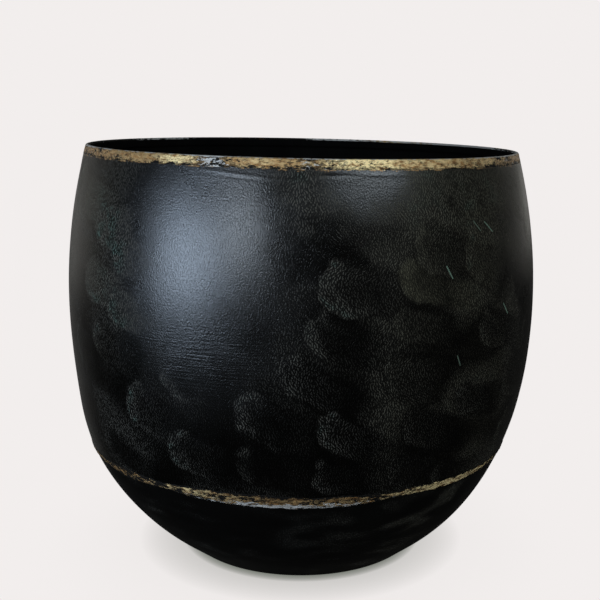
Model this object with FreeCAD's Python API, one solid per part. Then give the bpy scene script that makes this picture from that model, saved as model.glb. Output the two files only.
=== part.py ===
"""Flower pot of hammered sheet iron: barrel wall, raised bottom, rim hoop, brazed seams and floor pads.

Frame: the origin is on the floor under the middle of the pot, +Z is up and -Y is the front.
Lengths are in millimetres and angles in degrees.
"""
import FreeCAD, Part

import math
import os

from FreeCAD import Vector

# Driving dimensions of the pot's outer face
WIDEST_RADIUS = 200.0
RIM_ABOVE_BASE = 348.4
WIDEST_BELOW_RIM = 128.6
SEAM_BELOW_RIM = 250.5
RIM_LEAN = 1.18

# The outer face is two arcs that run into each other, then a straight run down to the flat
BARREL_ARC = 478.0
SHOULDER_ARC = 194.0
BARREL_ENDS_AT = 10.35
SHOULDER_ENDS_AT = 52.2
BASE_CORNER_ARC = 6.0

# Sheet, hoop and fillers
SHEET = 1.5
HOOP_HEIGHT = 7.4
HOOP_THICKNESS = 3.0
HOOP_EDGE_ROUND = 0.8
FILLET_LEG = 2.4
WELD_WIDTH = 2.6
WELD_PROUD_INSIDE = 0.6
SEAM_GAP = 1.6
BEAD_WIDTH_OUTSIDE = 5.2
BEAD_PROUD_OUTSIDE = 0.5
BEAD_WIDTH_INSIDE = 4.0
BEAD_PROUD_INSIDE = 0.6
BEAD_CROWN_SHARE = 0.5

# Felt dots under the flat
PAD_COUNT = 4
PAD_RADIUS = 12.0
PAD_THICKNESS = 1.5
PAD_CIRCLE_RADIUS = 76.0

# Heights above the floor
BASE_Z = PAD_THICKNESS
RIM_Z = BASE_Z + RIM_ABOVE_BASE
WIDEST_Z = RIM_Z - WIDEST_BELOW_RIM
SEAM_Z = RIM_Z - SEAM_BELOW_RIM

# Helpers for cutting and for finding edges
AXIS = Vector(0, 0, 1)
ORIGIN = Vector(0, 0, 0)
BACK = 90.0
TOOL_SIZE = 3.0 * WIDEST_RADIUS
ABOVE_RIM = 10.0
TOLERANCE = 0.01


def along(angle, length):
    """Step of the given length in the XZ half-plane, at an angle below the horizontal."""
    turn = math.radians(angle)
    return Vector(length * math.cos(turn), 0, -length * math.sin(turn))


# Centres of the two arcs, the second one on the line through the end of the first
BARREL_CENTRE = Vector(WIDEST_RADIUS - BARREL_ARC, 0, WIDEST_Z)
SHOULDER_CENTRE = BARREL_CENTRE + along(BARREL_ENDS_AT, BARREL_ARC - SHOULDER_ARC)


def wall_point(angle, inset):
    """Point of the wall's section at a wall angle, inset from the outer face."""
    if angle < BARREL_ENDS_AT:
        return BARREL_CENTRE + along(angle, BARREL_ARC - inset)
    return SHOULDER_CENTRE + along(angle, SHOULDER_ARC - inset)


def barrel_angle(z):
    """Wall angle at a height on the barrel arc."""
    return math.degrees(math.asin((BARREL_CENTRE.z - z) / BARREL_ARC))


# Wall angles where the sheets begin and end
SEAM_ANGLE = math.degrees(math.asin((SHOULDER_CENTRE.z - SEAM_Z) / SHOULDER_ARC))
HALF_GAP_ANGLE = math.degrees(SEAM_GAP / 2 / SHOULDER_ARC)
BARREL_FOOT = SEAM_ANGLE - HALF_GAP_ANGLE
BOWL_EDGE = SEAM_ANGLE + HALF_GAP_ANGLE
BARREL_TOP = barrel_angle(RIM_Z + ABOVE_RIM)
WELD_TURN = math.degrees(WELD_WIDTH / WIDEST_RADIUS)

# The leaning rim plane meets the tapering wall in a circle that is set off towards the low side
RIM_TAPER = math.tan(math.radians(-barrel_angle(RIM_Z)))
RIM_RADIUS = wall_point(barrel_angle(RIM_Z), 0).x
RIM_OFFSET = RIM_RADIUS * RIM_TAPER * math.tan(math.radians(RIM_LEAN))


def line(start, end):
    """Straight edge between two points."""
    return Part.LineSegment(start, end).toShape()


def wall_line(start, end, inset):
    """Edges of one face of the wall between two wall angles, one edge per arc."""
    stops = [start, end]
    if min(stops) < BARREL_ENDS_AT < max(stops):
        stops.insert(1, BARREL_ENDS_AT)
    edges = []
    for first, last in zip(stops, stops[1:]):
        points = [wall_point(angle, inset) for angle in (first, (first + last) / 2, last)]
        edges.append(Part.Arc(*points).toShape())
    return edges


def revolved(edges, turn=360.0):
    """Solid swept round the pot's axis by a closed section."""
    section = Part.Face(Part.Wire(edges))
    return section.revolve(ORIGIN, AXIS, turn)


def wall_layer(top, foot, outer_inset, inner_inset, turn=360.0):
    """Shell between two insets of the wall, from one wall angle down to another."""
    outer = wall_line(top, foot, outer_inset)
    across_foot = line(wall_point(foot, outer_inset), wall_point(foot, inner_inset))
    inner = wall_line(foot, top, inner_inset)
    across_top = line(wall_point(top, inner_inset), wall_point(top, outer_inset))
    return revolved(outer + [across_foot] + inner + [across_top], turn)


def lean_with_rim(shape):
    """Shape that was drawn about +Z from the rim's top plane downwards, set on the leaning rim."""
    leaning = shape.copy()
    leaning.rotate(ORIGIN, Vector(0, 1, 0), RIM_LEAN)
    leaning.translate(Vector(0, 0, RIM_Z))
    return leaning


def above_hoop_foot():
    """Block that takes away everything above the plane on which the hoop stands."""
    corner = Vector(-TOOL_SIZE / 2, -TOOL_SIZE / 2, -HOOP_HEIGHT)
    return lean_with_rim(Part.makeBox(TOOL_SIZE, TOOL_SIZE, TOOL_SIZE, corner))


def rim_section_point(depth, inset):
    """Point of a section through the tapering rim, at a depth below its top and inset from its face."""
    across = inset * math.sqrt(1 + RIM_TAPER ** 2)
    return Vector(RIM_RADIUS + depth * RIM_TAPER - across, 0, -depth)


def rim_revolved(corners):
    """Ring swept round the rim's own axis by a section with straight sides."""
    loop = corners + corners[:1]
    ring = revolved([line(first, last) for first, last in zip(loop, loop[1:])])
    ring.translate(Vector(RIM_OFFSET, 0, 0))
    return ring


def make_barrel_wall():
    """Rolled and hammered sheet, open by the weld's width at the back and cut off under the hoop."""
    sheet = wall_layer(BARREL_TOP, BARREL_FOOT, 0, SHEET, 360.0 - WELD_TURN)
    sheet.rotate(ORIGIN, AXIS, BACK + WELD_TURN / 2)
    return sheet.cut(above_hoop_foot())


def make_rim_ring():
    """Flat-bar hoop, flush with the wall outside and proud inside, with both top edges rounded."""
    places = ((0, 0), (HOOP_HEIGHT, 0), (HOOP_HEIGHT, HOOP_THICKNESS), (0, HOOP_THICKNESS))
    hoop = rim_revolved([rim_section_point(depth, inset) for depth, inset in places])
    top_edges = [e for e in hoop.Edges if max(abs(e.BoundBox.ZMin), e.BoundBox.ZLength) < TOLERANCE]
    return lean_with_rim(hoop.makeFillet(HOOP_EDGE_ROUND, top_edges))


def make_rim_braze():
    """Filler fillet in the corner between the hoop's inner ledge and the wall."""
    places = ((HOOP_HEIGHT, SHEET / 2), (HOOP_HEIGHT + FILLET_LEG, SHEET / 2),
              (HOOP_HEIGHT + FILLET_LEG, SHEET), (HOOP_HEIGHT, HOOP_THICKNESS))
    ring = rim_revolved([rim_section_point(depth, inset) for depth, inset in places])
    whole_wall = wall_layer(BARREL_TOP, BARREL_FOOT, 0, SHEET)
    return lean_with_rim(ring).cut(whole_wall)


def bead_cap(width, proud, face_inset):
    """Section edges of a bead's filed cap on one face of the wall, with its laps on both sheets."""
    half_width = math.degrees(width / 2 / SHOULDER_ARC)
    half_crown = half_width * BEAD_CROWN_SHARE
    outward = -1 if face_inset else 1
    crown_inset = face_inset - outward * proud
    cap = [wall_point(SEAM_ANGLE - half_width, face_inset), wall_point(SEAM_ANGLE - half_crown, crown_inset),
           wall_point(SEAM_ANGLE + half_crown, crown_inset), wall_point(SEAM_ANGLE + half_width, face_inset)]
    upper_lap = wall_line(BARREL_FOOT, SEAM_ANGLE - half_width, face_inset)
    lower_lap = wall_line(SEAM_ANGLE + half_width, BOWL_EDGE, face_inset)
    return upper_lap + [line(first, last) for first, last in zip(cap, cap[1:])] + lower_lap


def make_seam_braze():
    """Filler ring that fills the gap between wall and bottom, with a filed bead on both faces."""
    outside = bead_cap(BEAD_WIDTH_OUTSIDE, BEAD_PROUD_OUTSIDE, 0)
    inside = bead_cap(BEAD_WIDTH_INSIDE, BEAD_PROUD_INSIDE, SHEET)
    upper_side = line(wall_point(BARREL_FOOT, SHEET), wall_point(BARREL_FOOT, 0))
    lower_side = line(wall_point(BOWL_EDGE, 0), wall_point(BOWL_EDGE, SHEET))
    section = Part.__sortEdges__(outside + [lower_side] + inside + [upper_side])
    return revolved(section)


def make_barrel_weld(rim_braze, seam_braze):
    """Upright weld that closes the rolled sheet, ground flush outside and left proud inside."""
    strip = wall_layer(BARREL_TOP, BARREL_FOOT, 0, SHEET + WELD_PROUD_INSIDE, WELD_TURN)
    strip.rotate(ORIGIN, AXIS, BACK - WELD_TURN / 2)
    return strip.cut(above_hoop_foot()).cut(rim_braze).cut(seam_braze)


def flat_corner(inset):
    """Corner where the straight run of one face of the bottom meets the flat."""
    start = wall_point(SHOULDER_ENDS_AT, inset)
    height = BASE_Z + inset
    run = (start.z - height) * math.tan(math.radians(SHOULDER_ENDS_AT))
    return Vector(start.x - run, 0, height)


def make_base_bowl():
    """Raised bottom from the seam down to the flat, with a rounded corner round the flat."""
    outer = wall_line(BOWL_EDGE, SHOULDER_ENDS_AT, 0)
    outer_run = line(wall_point(SHOULDER_ENDS_AT, 0), flat_corner(0))
    underside = line(flat_corner(0), Vector(0, 0, BASE_Z))
    middle = line(Vector(0, 0, BASE_Z), Vector(0, 0, BASE_Z + SHEET))
    floor = line(Vector(0, 0, BASE_Z + SHEET), flat_corner(SHEET))
    inner_run = line(flat_corner(SHEET), wall_point(SHOULDER_ENDS_AT, SHEET))
    inner = wall_line(SHOULDER_ENDS_AT, BOWL_EDGE, SHEET)
    edge = line(wall_point(BOWL_EDGE, SHEET), wall_point(BOWL_EDGE, 0))
    bowl = revolved(outer + [outer_run, underside, middle, floor, inner_run] + inner + [edge])
    for inset, radius in ((0, BASE_CORNER_ARC + SHEET), (SHEET, BASE_CORNER_ARC)):
        height = BASE_Z + inset
        rings = [e for e in bowl.Edges if max(abs(e.BoundBox.ZMin - height), e.BoundBox.ZLength) < TOLERANCE]
        bowl = bowl.makeFillet(radius, rings)
    return bowl


def make_floor_pad(number):
    """One die-cut felt dot of the ring of pads under the flat."""
    turn = math.radians(360.0 * (number - 0.5) / PAD_COUNT)
    place = Vector(math.cos(turn), math.sin(turn), 0) * PAD_CIRCLE_RADIUS
    return Part.makeCylinder(PAD_RADIUS, PAD_THICKNESS, place)


def make_pieces():
    """Every piece of the pot by its node name."""
    rim_braze = make_rim_braze()
    seam_braze = make_seam_braze()
    pieces = {
        "barrel_wall": make_barrel_wall(),
        "barrel_weld": make_barrel_weld(rim_braze, seam_braze),
        "rim_ring": make_rim_ring(),
        "rim_braze": rim_braze,
        "seam_braze": seam_braze,
        "base_bowl": make_base_bowl(),
    }
    for number in range(1, PAD_COUNT + 1):
        pieces[f"floor_pad_{number}"] = make_floor_pad(number)
    return pieces


os.makedirs("parts", exist_ok=True)
for node, shape in make_pieces().items():
    print(node, shape.isValid(), len(shape.Solids), "solid", round(shape.Volume), "mm3")
    shape.Solids[0].exportStep(f"parts/{node}.step")
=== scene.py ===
"""Flower pot of hammered, blackened sheet iron with a worn gilt rim hoop and a gilt brazed seam.

Frame: metres, +Z up, -Y is the front, the floor is at Z 0. A turn is an angle round the pot, from the
front towards +X. A run is a length along the outer face, from the widest circle down.
"""

import logging
import math
import random
from dataclasses import dataclass, field
from enum import Enum
from functools import cached_property

import bmesh
import bpy
import numpy as np
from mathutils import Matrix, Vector, noise


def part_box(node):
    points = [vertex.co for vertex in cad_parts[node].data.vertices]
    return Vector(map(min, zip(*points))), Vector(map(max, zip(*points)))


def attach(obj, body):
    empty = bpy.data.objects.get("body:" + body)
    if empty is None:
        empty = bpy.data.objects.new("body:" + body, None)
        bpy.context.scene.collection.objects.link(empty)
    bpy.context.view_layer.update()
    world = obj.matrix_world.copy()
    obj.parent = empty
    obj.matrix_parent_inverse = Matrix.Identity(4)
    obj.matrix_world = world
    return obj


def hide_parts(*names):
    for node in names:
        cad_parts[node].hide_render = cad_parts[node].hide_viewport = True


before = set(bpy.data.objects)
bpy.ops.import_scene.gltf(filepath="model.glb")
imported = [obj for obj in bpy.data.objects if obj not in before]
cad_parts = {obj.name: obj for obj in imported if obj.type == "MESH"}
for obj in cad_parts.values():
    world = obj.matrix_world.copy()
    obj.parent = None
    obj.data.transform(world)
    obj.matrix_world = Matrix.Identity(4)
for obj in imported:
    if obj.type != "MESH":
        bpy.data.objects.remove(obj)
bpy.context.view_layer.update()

MM = 0.001
BODY = "root"
BAKE_MAP = "OFBake"
GILT_GRAIN = (0.55, 0.55, 1.3)
SHARP_ANGLE = math.radians(42.0)
OPENNESS_SAMPLES = 16
POLE_MERGE = 0.001 * MM

# The sheet and what joins it, as the solids have them
SHEET = 1.5 * MM
HOOP_HEIGHT = 7.4 * MM
HOOP_THICKNESS = 3.0 * MM
WELD_WIDTH = 2.6 * MM
SEAM_GAP = 1.6 * MM

LOG = logging.getLogger("flower_pot")

Colour = tuple[float, float, float]
Mark = tuple[float, float, float]
Array = np.ndarray
Mesh = bpy.types.Mesh
Object = bpy.types.Object
Material = bpy.types.Material
NodeTree = bpy.types.NodeTree
Socket = bpy.types.NodeSocket
Value = float | tuple | Socket


class Slot(Enum):
    """Material slots of the pot."""

    IRON = "blackened_iron"
    GILT = "worn_gilt"
    FELT = "felt"


class Strip(Enum):
    """Which finish of a piece a strip of its rows takes."""

    OUTSIDE = 0
    INSIDE = 1


def soft_step(low: float, high: float, value: Array) -> Array:
    """Share that goes from 0 at low to 1 at high with soft ends."""
    share = np.clip((value - low) / (high - low), 0.0, 1.0)
    return share * share * (3.0 - 2.0 * share)


def bump_at(middle: float, width: float, value: Array) -> Array:
    """Bell curve of height 1."""
    return np.exp(-(((value - middle) / width) ** 2) / 2)


def wrapped(turn: Array) -> Array:
    """Turns brought into the half circle on each side of the front."""
    return (turn + math.pi) % (2 * math.pi) - math.pi


def grain(points: Array, size: float, place: float = 0.0) -> Array:
    """Seamless noise between about -1 and 1 at the given points.

    Args:
        points: Array whose last axis is x, y and z.
        size: Length of one lump of the noise.
        place: Shift that picks another stretch of the noise.

    Returns:
        One value for each point.
    """
    flat = points.reshape(-1, 3) / size + place
    values = [noise.noise(Vector(point)) for point in flat.tolist()]
    return np.array(values).reshape(points.shape[:-1])


def full_circle(columns: int) -> Array:
    """Turns of the columns of a closed ring."""
    return np.linspace(-math.pi, math.pi, columns, endpoint=False)


def marks_at(marks: tuple[Mark, ...], degrees: Array) -> Array:
    """Strength of marks round the pot, each with its middle and spread in degrees and its strength."""
    return sum(strength * bump_at(middle, spread, degrees) for middle, spread, strength in marks)


@dataclass(frozen=True)
class Stretch:
    """One length of the outline, straight or bent to an arc, from its upper end down."""

    start: float
    radius: float
    height: float
    angle: float
    bend: float

    def at(self, run: Array) -> tuple[Array, Array, Array]:
        """Section at runs on this stretch.

        Args:
            run: Runs down the face.

        Returns:
            Radius, height and the angle of the face from upright.
        """
        along = run - self.start
        angle = self.angle + self.bend * along
        if self.bend == 0.0:
            radius = self.radius - math.sin(self.angle) * along
            height = self.height - math.cos(self.angle) * along
        else:
            radius = self.radius + (np.cos(angle) - math.cos(self.angle)) / self.bend
            height = self.height - (np.sin(angle) - math.sin(self.angle)) / self.bend
        return radius, height, angle


@dataclass(frozen=True)
class PotSection:
    """Outer face of the pot: two arcs that run into each other, a straight run, a corner and the flat."""

    widest_radius: float
    widest_z: float
    base_z: float
    seam_z: float
    rim_z: float
    rim_lean: float
    barrel_arc: float = 478.0 * MM
    shoulder_arc: float = 194.0 * MM
    corner_arc: float = 7.5 * MM
    barrel_ends_at: float = math.radians(10.35)
    shoulder_ends_at: float = math.radians(52.2)
    top_run: float = -160.0 * MM
    sway: float = -3.1 * MM
    sway_z: float = 95.0 * MM
    sway_spread: float = 36.0 * MM
    settle_steps: int = 8

    @classmethod
    def from_frame(cls, widest_below_rim: float = 128.6 * MM) -> "PotSection":
        """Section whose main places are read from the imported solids.

        Args:
            widest_below_rim: Depth of the widest circle below the middle of the mouth.

        Returns:
            The section of this pot.
        """
        rim_low, rim_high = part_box("rim_ring")
        seam_low, seam_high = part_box("seam_braze")
        rim_z = (rim_low.z + rim_high.z + HOOP_HEIGHT) / 2
        rise = rim_high.z - rim_low.z - HOOP_HEIGHT
        return cls(
            widest_radius=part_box("barrel_wall")[1].x,
            widest_z=rim_z - widest_below_rim,
            base_z=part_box("base_bowl")[0].z,
            seam_z=(seam_low.z + seam_high.z) / 2,
            rim_z=rim_z,
            rim_lean=math.asin(rise / (rim_high.x - rim_low.x)),
        )

    @cached_property
    def stretches(self) -> list[Stretch]:
        """The outline's stretches in order, each starting where the one above it ends."""
        start_angle = self.top_run / self.barrel_arc
        start_radius = self.widest_radius - self.barrel_arc * (1 - math.cos(start_angle))
        start_height = self.widest_z - self.barrel_arc * math.sin(start_angle)
        barrel = Stretch(self.top_run, start_radius, start_height, start_angle, 1 / self.barrel_arc)
        shoulder = self.follow(barrel, self.barrel_ends_at * self.barrel_arc, 1 / self.shoulder_arc)
        shoulder_length = (self.shoulder_ends_at - self.barrel_ends_at) * self.shoulder_arc
        straight = self.follow(shoulder, shoulder.start + shoulder_length, 0.0)
        corner_turn = math.pi / 2 - self.shoulder_ends_at
        corner_tangent = self.corner_arc * math.tan(corner_turn / 2)
        down_to_base = (straight.height - self.base_z) / math.cos(self.shoulder_ends_at)
        corner = self.follow(straight, straight.start + down_to_base - corner_tangent, 1 / self.corner_arc)
        flat = self.follow(corner, corner.start + self.corner_arc * corner_turn, 0.0)
        return [barrel, shoulder, straight, corner, flat]

    @staticmethod
    def follow(stretch: Stretch, start: float, bend: float) -> Stretch:
        """Stretch that takes over from another at a run."""
        radius, height, angle = stretch.at(start)
        return Stretch(start, radius, height, angle, bend)

    @property
    def centre_run(self) -> float:
        """Run of the middle of the flat."""
        flat = self.stretches[-1]
        return flat.start + flat.radius

    @property
    def seam_run(self) -> float:
        """Run of the seam's line, which is on the shoulder arc."""
        shoulder = self.stretches[1]
        sine = math.sin(shoulder.angle) + (shoulder.height - self.seam_z) * shoulder.bend
        return shoulder.start + (math.asin(sine) - shoulder.angle) / shoulder.bend

    def at(self, run: Array) -> tuple[Array, Array, Array]:
        """Section at any runs.

        Args:
            run: Runs down the face.

        Returns:
            Radius, height and the angle of the face from upright.
        """
        found = [stretch.at(run) for stretch in self.stretches]
        starts = [stretch.start for stretch in self.stretches]
        which = np.clip(np.searchsorted(starts, run, side="right") - 1, 0, len(starts) - 1)
        return tuple(np.choose(which, parts) for parts in zip(*found))

    def place(self, turn: Array, run: Array, out: Array) -> Array:
        """Points on or near the outer face.

        Args:
            turn: Turns round the pot.
            run: Runs down the face.
            out: Distances out from the face, negative inside the sheet.

        Returns:
            Array of points, x, y and z on the last axis.
        """
        turn, run, out = np.broadcast_arrays(turn, run, out)
        radius, height, angle = self.at(run)
        radius = radius + out * np.cos(angle)
        height = height - out * np.sin(angle)
        aside = self.sway * bump_at(self.sway_z, self.sway_spread, height)
        return np.stack([radius * np.sin(turn) + aside, -radius * np.cos(turn), height], axis=-1)

    def hoop_foot(self, turn: Array, out: float = 0.0) -> Array:
        """Where the sheet ends under the leaning hoop.

        Args:
            turn: Turns round the pot.
            out: Distance of a layer of the sheet out from its face.

        Returns:
            Runs of that layer's edge.
        """
        run = np.full_like(turn, self.widest_z - self.rim_z)
        sine, cosine = math.sin(self.rim_lean), math.cos(self.rim_lean)
        for _ in range(self.settle_steps):
            point = self.place(turn, run, out)
            level = self.rim_z - (HOOP_HEIGHT + point[..., 0] * sine) / cosine
            run = run + point[..., 2] - level
        return run

    def rim_place(self, turn: Array, depth: Array, inset: Array) -> Array:
        """Points of the hoop, drawn about its own axis and leaned with it.

        Args:
            turn: Turns round the hoop.
            depth: Depths below its top.
            inset: Distances in from its outer face.

        Returns:
            Array of points, x, y and z on the last axis.
        """
        run = self.barrel_arc * math.asin((self.widest_z - self.rim_z) / self.barrel_arc)
        rim_radius, _, angle = self.stretches[0].at(run)
        taper = math.tan(-angle)
        radius = rim_radius + depth * taper - inset * math.hypot(1.0, taper)
        x = radius * np.sin(turn) + rim_radius * taper * math.tan(self.rim_lean)
        y = -radius * np.cos(turn)
        sine, cosine = math.sin(self.rim_lean), math.cos(self.rim_lean)
        return np.stack([x * cosine - depth * sine, y, self.rim_z - x * sine - depth * cosine], axis=-1)


@dataclass(frozen=True)
class SeamLine:
    """The brazed seam's path, which wanders a little about the level line."""

    section: PotSection
    knots: tuple[tuple[float, float], ...] = (
        (-180.0, 0.6), (-140.0, -0.8), (-100.0, 0.4), (-62.0, -0.6), (-32.0, -1.2), (-11.0, 0.0), (3.0, 1.5),
        (15.0, 1.0), (28.0, -0.2), (48.0, 0.6), (85.0, -0.7), (130.0, 0.8), (180.0, 0.6),
    )

    def run(self, turn: Array) -> Array:
        """Path of the seam, smoothed between its knots.

        Args:
            turn: Turns round the pot.

        Returns:
            Runs of the seam there.
        """
        degrees = np.degrees(wrapped(turn))
        places = np.array([place for place, _ in self.knots])
        offsets = np.array([offset for _, offset in self.knots])
        which = np.clip(np.searchsorted(places, degrees, side="right") - 1, 0, len(places) - 2)
        share = soft_step(0.0, 1.0, (degrees - places[which]) / (places[which + 1] - places[which]))
        return self.section.seam_run + (offsets[which] * (1 - share) + offsets[which + 1] * share) * MM


@dataclass(frozen=True)
class HammerMarks:
    """Shallow unevenness that hammering leaves in the sheet."""

    wide_size: float = 95.0 * MM
    wide_height: float = 0.55 * MM
    small_size: float = 30.0 * MM
    small_height: float = 0.07 * MM

    def out(self, points: Array) -> Array:
        """Distance out from the true face at points of it."""
        wide = self.wide_height * grain(points, self.wide_size)
        return wide + self.small_height * grain(points, self.small_size, 7.3)


@dataclass(frozen=True)
class Dab:
    """One sponge mark.

    Attributes:
        degrees: Turn of its left tip.
        level: Run of its left tip in millimetres.
        strength: How much pigment it left.
        olive: How olive that pigment is.
        tilt: Degrees that its length points down to the right.
        fill: Share of the pigment that is left away from its edge.
    """

    degrees: float
    level: float
    strength: float
    olive: float
    tilt: float
    fill: float = 0.20


@dataclass(frozen=True)
class SpongeDabs:
    """Overlapping sponge marks, each with a crisp round edge on its left and fading out to the right.

    Attributes:
        tall: Usual height of a mark.
        long: Length in which a mark fades out.
        fade_from: Share of that length from which it fades.
        edge_fade: Depth of the heavier pigment along a mark's edge.
        crisp_edge: Depths between which a mark's left edge sets in.
        soft_edge: Depth in which its upper edge sets in.
        wiped: Share of the pigment under it that a mark takes off.
        thin: Least cover between the marks.
        thick: Most cover between the marks.
        middle_share: Share of that cover on the middle of the front.
        right_side: Middle and spread in degrees and strength of the heavier cover on the right.
        left_side: The same on the left.
        right_olive: How olive the cover on the right is.
        veil: Cover of the veil below the rim on the right.
        veil_foot: Runs in millimetres between which the veil ends.
        veil_left: Degrees between which it sets in on the left.
        veil_right: Degrees between which it ends on the right.
        veil_tear: Millimetres that its foot is torn by, and the size of the tears.
        cloud_size: Size of the clouds in the cover between the marks.
        fine_tear: How far the marks' outlines are torn finely, and the size of those tears.
        coarse_tear: The same for the coarse tears.
        heights: Least and most height of a mark as a multiple of the usual one.
        bare_spot: Turn in degrees and run in millimetres of a spot left bare.
        bare_half: Half the spot's width in degrees and half its height in millimetres.
        fan: How far the strokes fan out at a mark's upper and lower edge.
        front_degrees: Turn beyond which the marks are scattered by chance.
        row_levels: Runs in millimetres that the rows of scattered marks lie between.
        row_gap: Millimetres from row to row.
        row_shift: Degrees by which every other row starts later.
        last_gap: Degrees left free at the end of a row.
        seed: Start of the chance draws.
        placed: Marks on the front.
    """

    section: PotSection
    tall: float = 38.0 * MM
    long: float = 92.0 * MM
    fade_from: float = 0.30
    edge_fade: float = 6.5 * MM
    crisp_edge: tuple[float, float] = (-2.4 * MM, 3.2 * MM)
    soft_edge: float = 10.0 * MM
    wiped: float = 0.55
    thin: float = 0.12
    thick: float = 0.34
    middle_share: float = 0.45
    right_side: Mark = (42.0, 26.0, 0.85)
    left_side: Mark = (-52.0, 20.0, 0.50)
    right_olive: float = 0.35
    veil: float = 0.50
    veil_foot: tuple[float, float] = (-106.0, -64.0)
    veil_left: tuple[float, float] = (-14.0, 0.0)
    veil_right: tuple[float, float] = (50.0, 75.0)
    veil_tear: tuple[float, float] = (14.0, 16.0 * MM)
    cloud_size: float = 38.0 * MM
    fine_tear: tuple[float, float] = (1.6 * MM, 5.0 * MM)
    coarse_tear: tuple[float, float] = (4.4 * MM, 17.0 * MM)
    heights: tuple[float, float] = (0.80, 1.14)
    bare_spot: tuple[float, float] = (4.0, -58.0)
    bare_half: tuple[float, float] = (9.0, 13.0)
    fan: float = 0.45
    front_degrees: float = 58.0
    row_levels: tuple[float, float] = (-100.0, 125.0)
    row_gap: float = 30.0
    row_shift: float = 9.0
    last_gap: float = 4.0
    seed: int = 11
    placed: tuple[Dab, ...] = (
        Dab(-62.0, -99.0, 0.80, 0.1, 10.0, 0.70), Dab(-54.0, -80.0, 1.00, 0.05, 4.0, 0.60),
        Dab(38.0, -86.0, 0.80, 0.4, 15.0, 0.40), Dab(37.8, -66.0, 0.65, 0.4, 30.0, 0.40),
        Dab(24.0, -72.0, 0.50, 0.4, 16.0, 0.40), Dab(-46.0, -58.0, 1.00, 0.0, 5.0, 0.70),
        Dab(3.7, -44.0, 1.00, 0.1, 8.0, 0.16), Dab(20.4, -48.0, 0.58, 0.6, 12.0, 0.35),
        Dab(-57.0, -38.0, 0.95, 0.1, 10.0, 0.50), Dab(-47.0, -20.0, 1.00, 0.05, 5.0, 0.50),
        Dab(0.8, -13.0, 0.75, 0.1, 18.0, 0.14), Dab(18.6, -16.0, 0.46, 0.3, 10.0, 0.45),
        Dab(41.4, -4.0, 0.56, 0.2, 12.0, 0.38), Dab(-53.0, 8.0, 0.90, 0.05, 14.0, 0.18),
        Dab(-31.0, 24.0, 0.95, 0.0, 8.0, 0.13), Dab(-4.2, 12.0, 0.78, 0.0, 32.0, 0.22),
        Dab(17.0, 22.0, 0.44, 0.2, 10.0, 0.48), Dab(35.2, 47.0, 0.54, 0.1, 10.0, 0.38),
        Dab(-41.8, 50.0, 1.00, 0.0, 20.0, 0.16), Dab(-13.6, 43.0, 0.85, 0.0, 28.0, 0.12),
        Dab(3.8, 55.0, 0.90, 0.0, 30.0), Dab(22.0, 62.0, 0.40, 0.1, 15.0, 0.45),
        Dab(-30.2, 80.0, 0.95, 0.0, 16.0, 0.14), Dab(-14.0, 88.0, 0.40, 0.1, 10.0),
        Dab(2.6, 100.0, 0.60, 0.0, 5.0), Dab(33.0, 108.0, 0.55, 0.1, 8.0),
        Dab(-52.0, 92.0, 0.40, 0.0, 20.0), Dab(20.0, 100.0, 0.40, 0.1, 8.0, 0.40),
        Dab(52.0, 40.0, 0.55, 0.2, 10.0, 0.40),
    )

    def scattered(self) -> list[Dab]:
        """Marks over the sides and the back.

        Returns:
            The marks, row by row.
        """
        chance = random.Random(self.seed)
        marks = []
        for row, level in enumerate(np.arange(*self.row_levels, self.row_gap).tolist()):
            degrees = self.front_degrees + (row % 2) * self.row_shift
            while degrees < 360.0 - self.front_degrees - self.last_gap:
                marks.append(Dab(
                    degrees=degrees + chance.uniform(-5.0, 5.0),
                    level=level + chance.uniform(-9.0, 9.0),
                    strength=chance.uniform(0.35, 0.95),
                    olive=chance.uniform(0.0, 0.4),
                    tilt=chance.uniform(0.0, 32.0),
                ))
                degrees += chance.uniform(15.0, 22.0)
        return marks

    def ground(self, points: Array, degrees: Array, run: Array) -> Array:
        """Cover between the marks, heavier at the sides, with the veil and the bare spot.

        Args:
            points: Points of the face.
            degrees: Their turns in degrees.
            run: Their runs.

        Returns:
            The cover, 0 to 1.
        """
        clouds = soft_step(-0.45, 0.45, grain(points, self.cloud_size, 1.9))
        cover = self.thin + (self.thick - self.thin) * clouds
        cover = cover * (self.middle_share + marks_at((self.right_side, self.left_side), degrees))
        tear, tear_size = self.veil_tear
        torn = run / MM + tear * grain(points, tear_size, 7.3)
        veiled = (1 - soft_step(*self.veil_foot, torn)) * soft_step(*self.veil_left, degrees)
        veiled = veiled * (1 - soft_step(*self.veil_right, degrees))
        cover = np.maximum(cover, self.veil * veiled * (0.75 + 0.5 * grain(points, 11.0 * MM, 3.8)))
        aside = (degrees - self.bare_spot[0]) / self.bare_half[0]
        below = (run / MM - self.bare_spot[1]) / self.bare_half[1]
        away = np.hypot(aside, below) + 0.3 * grain(points, 12.0 * MM, 1.2)
        return cover * soft_step(0.5, 1.4, away)

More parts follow.
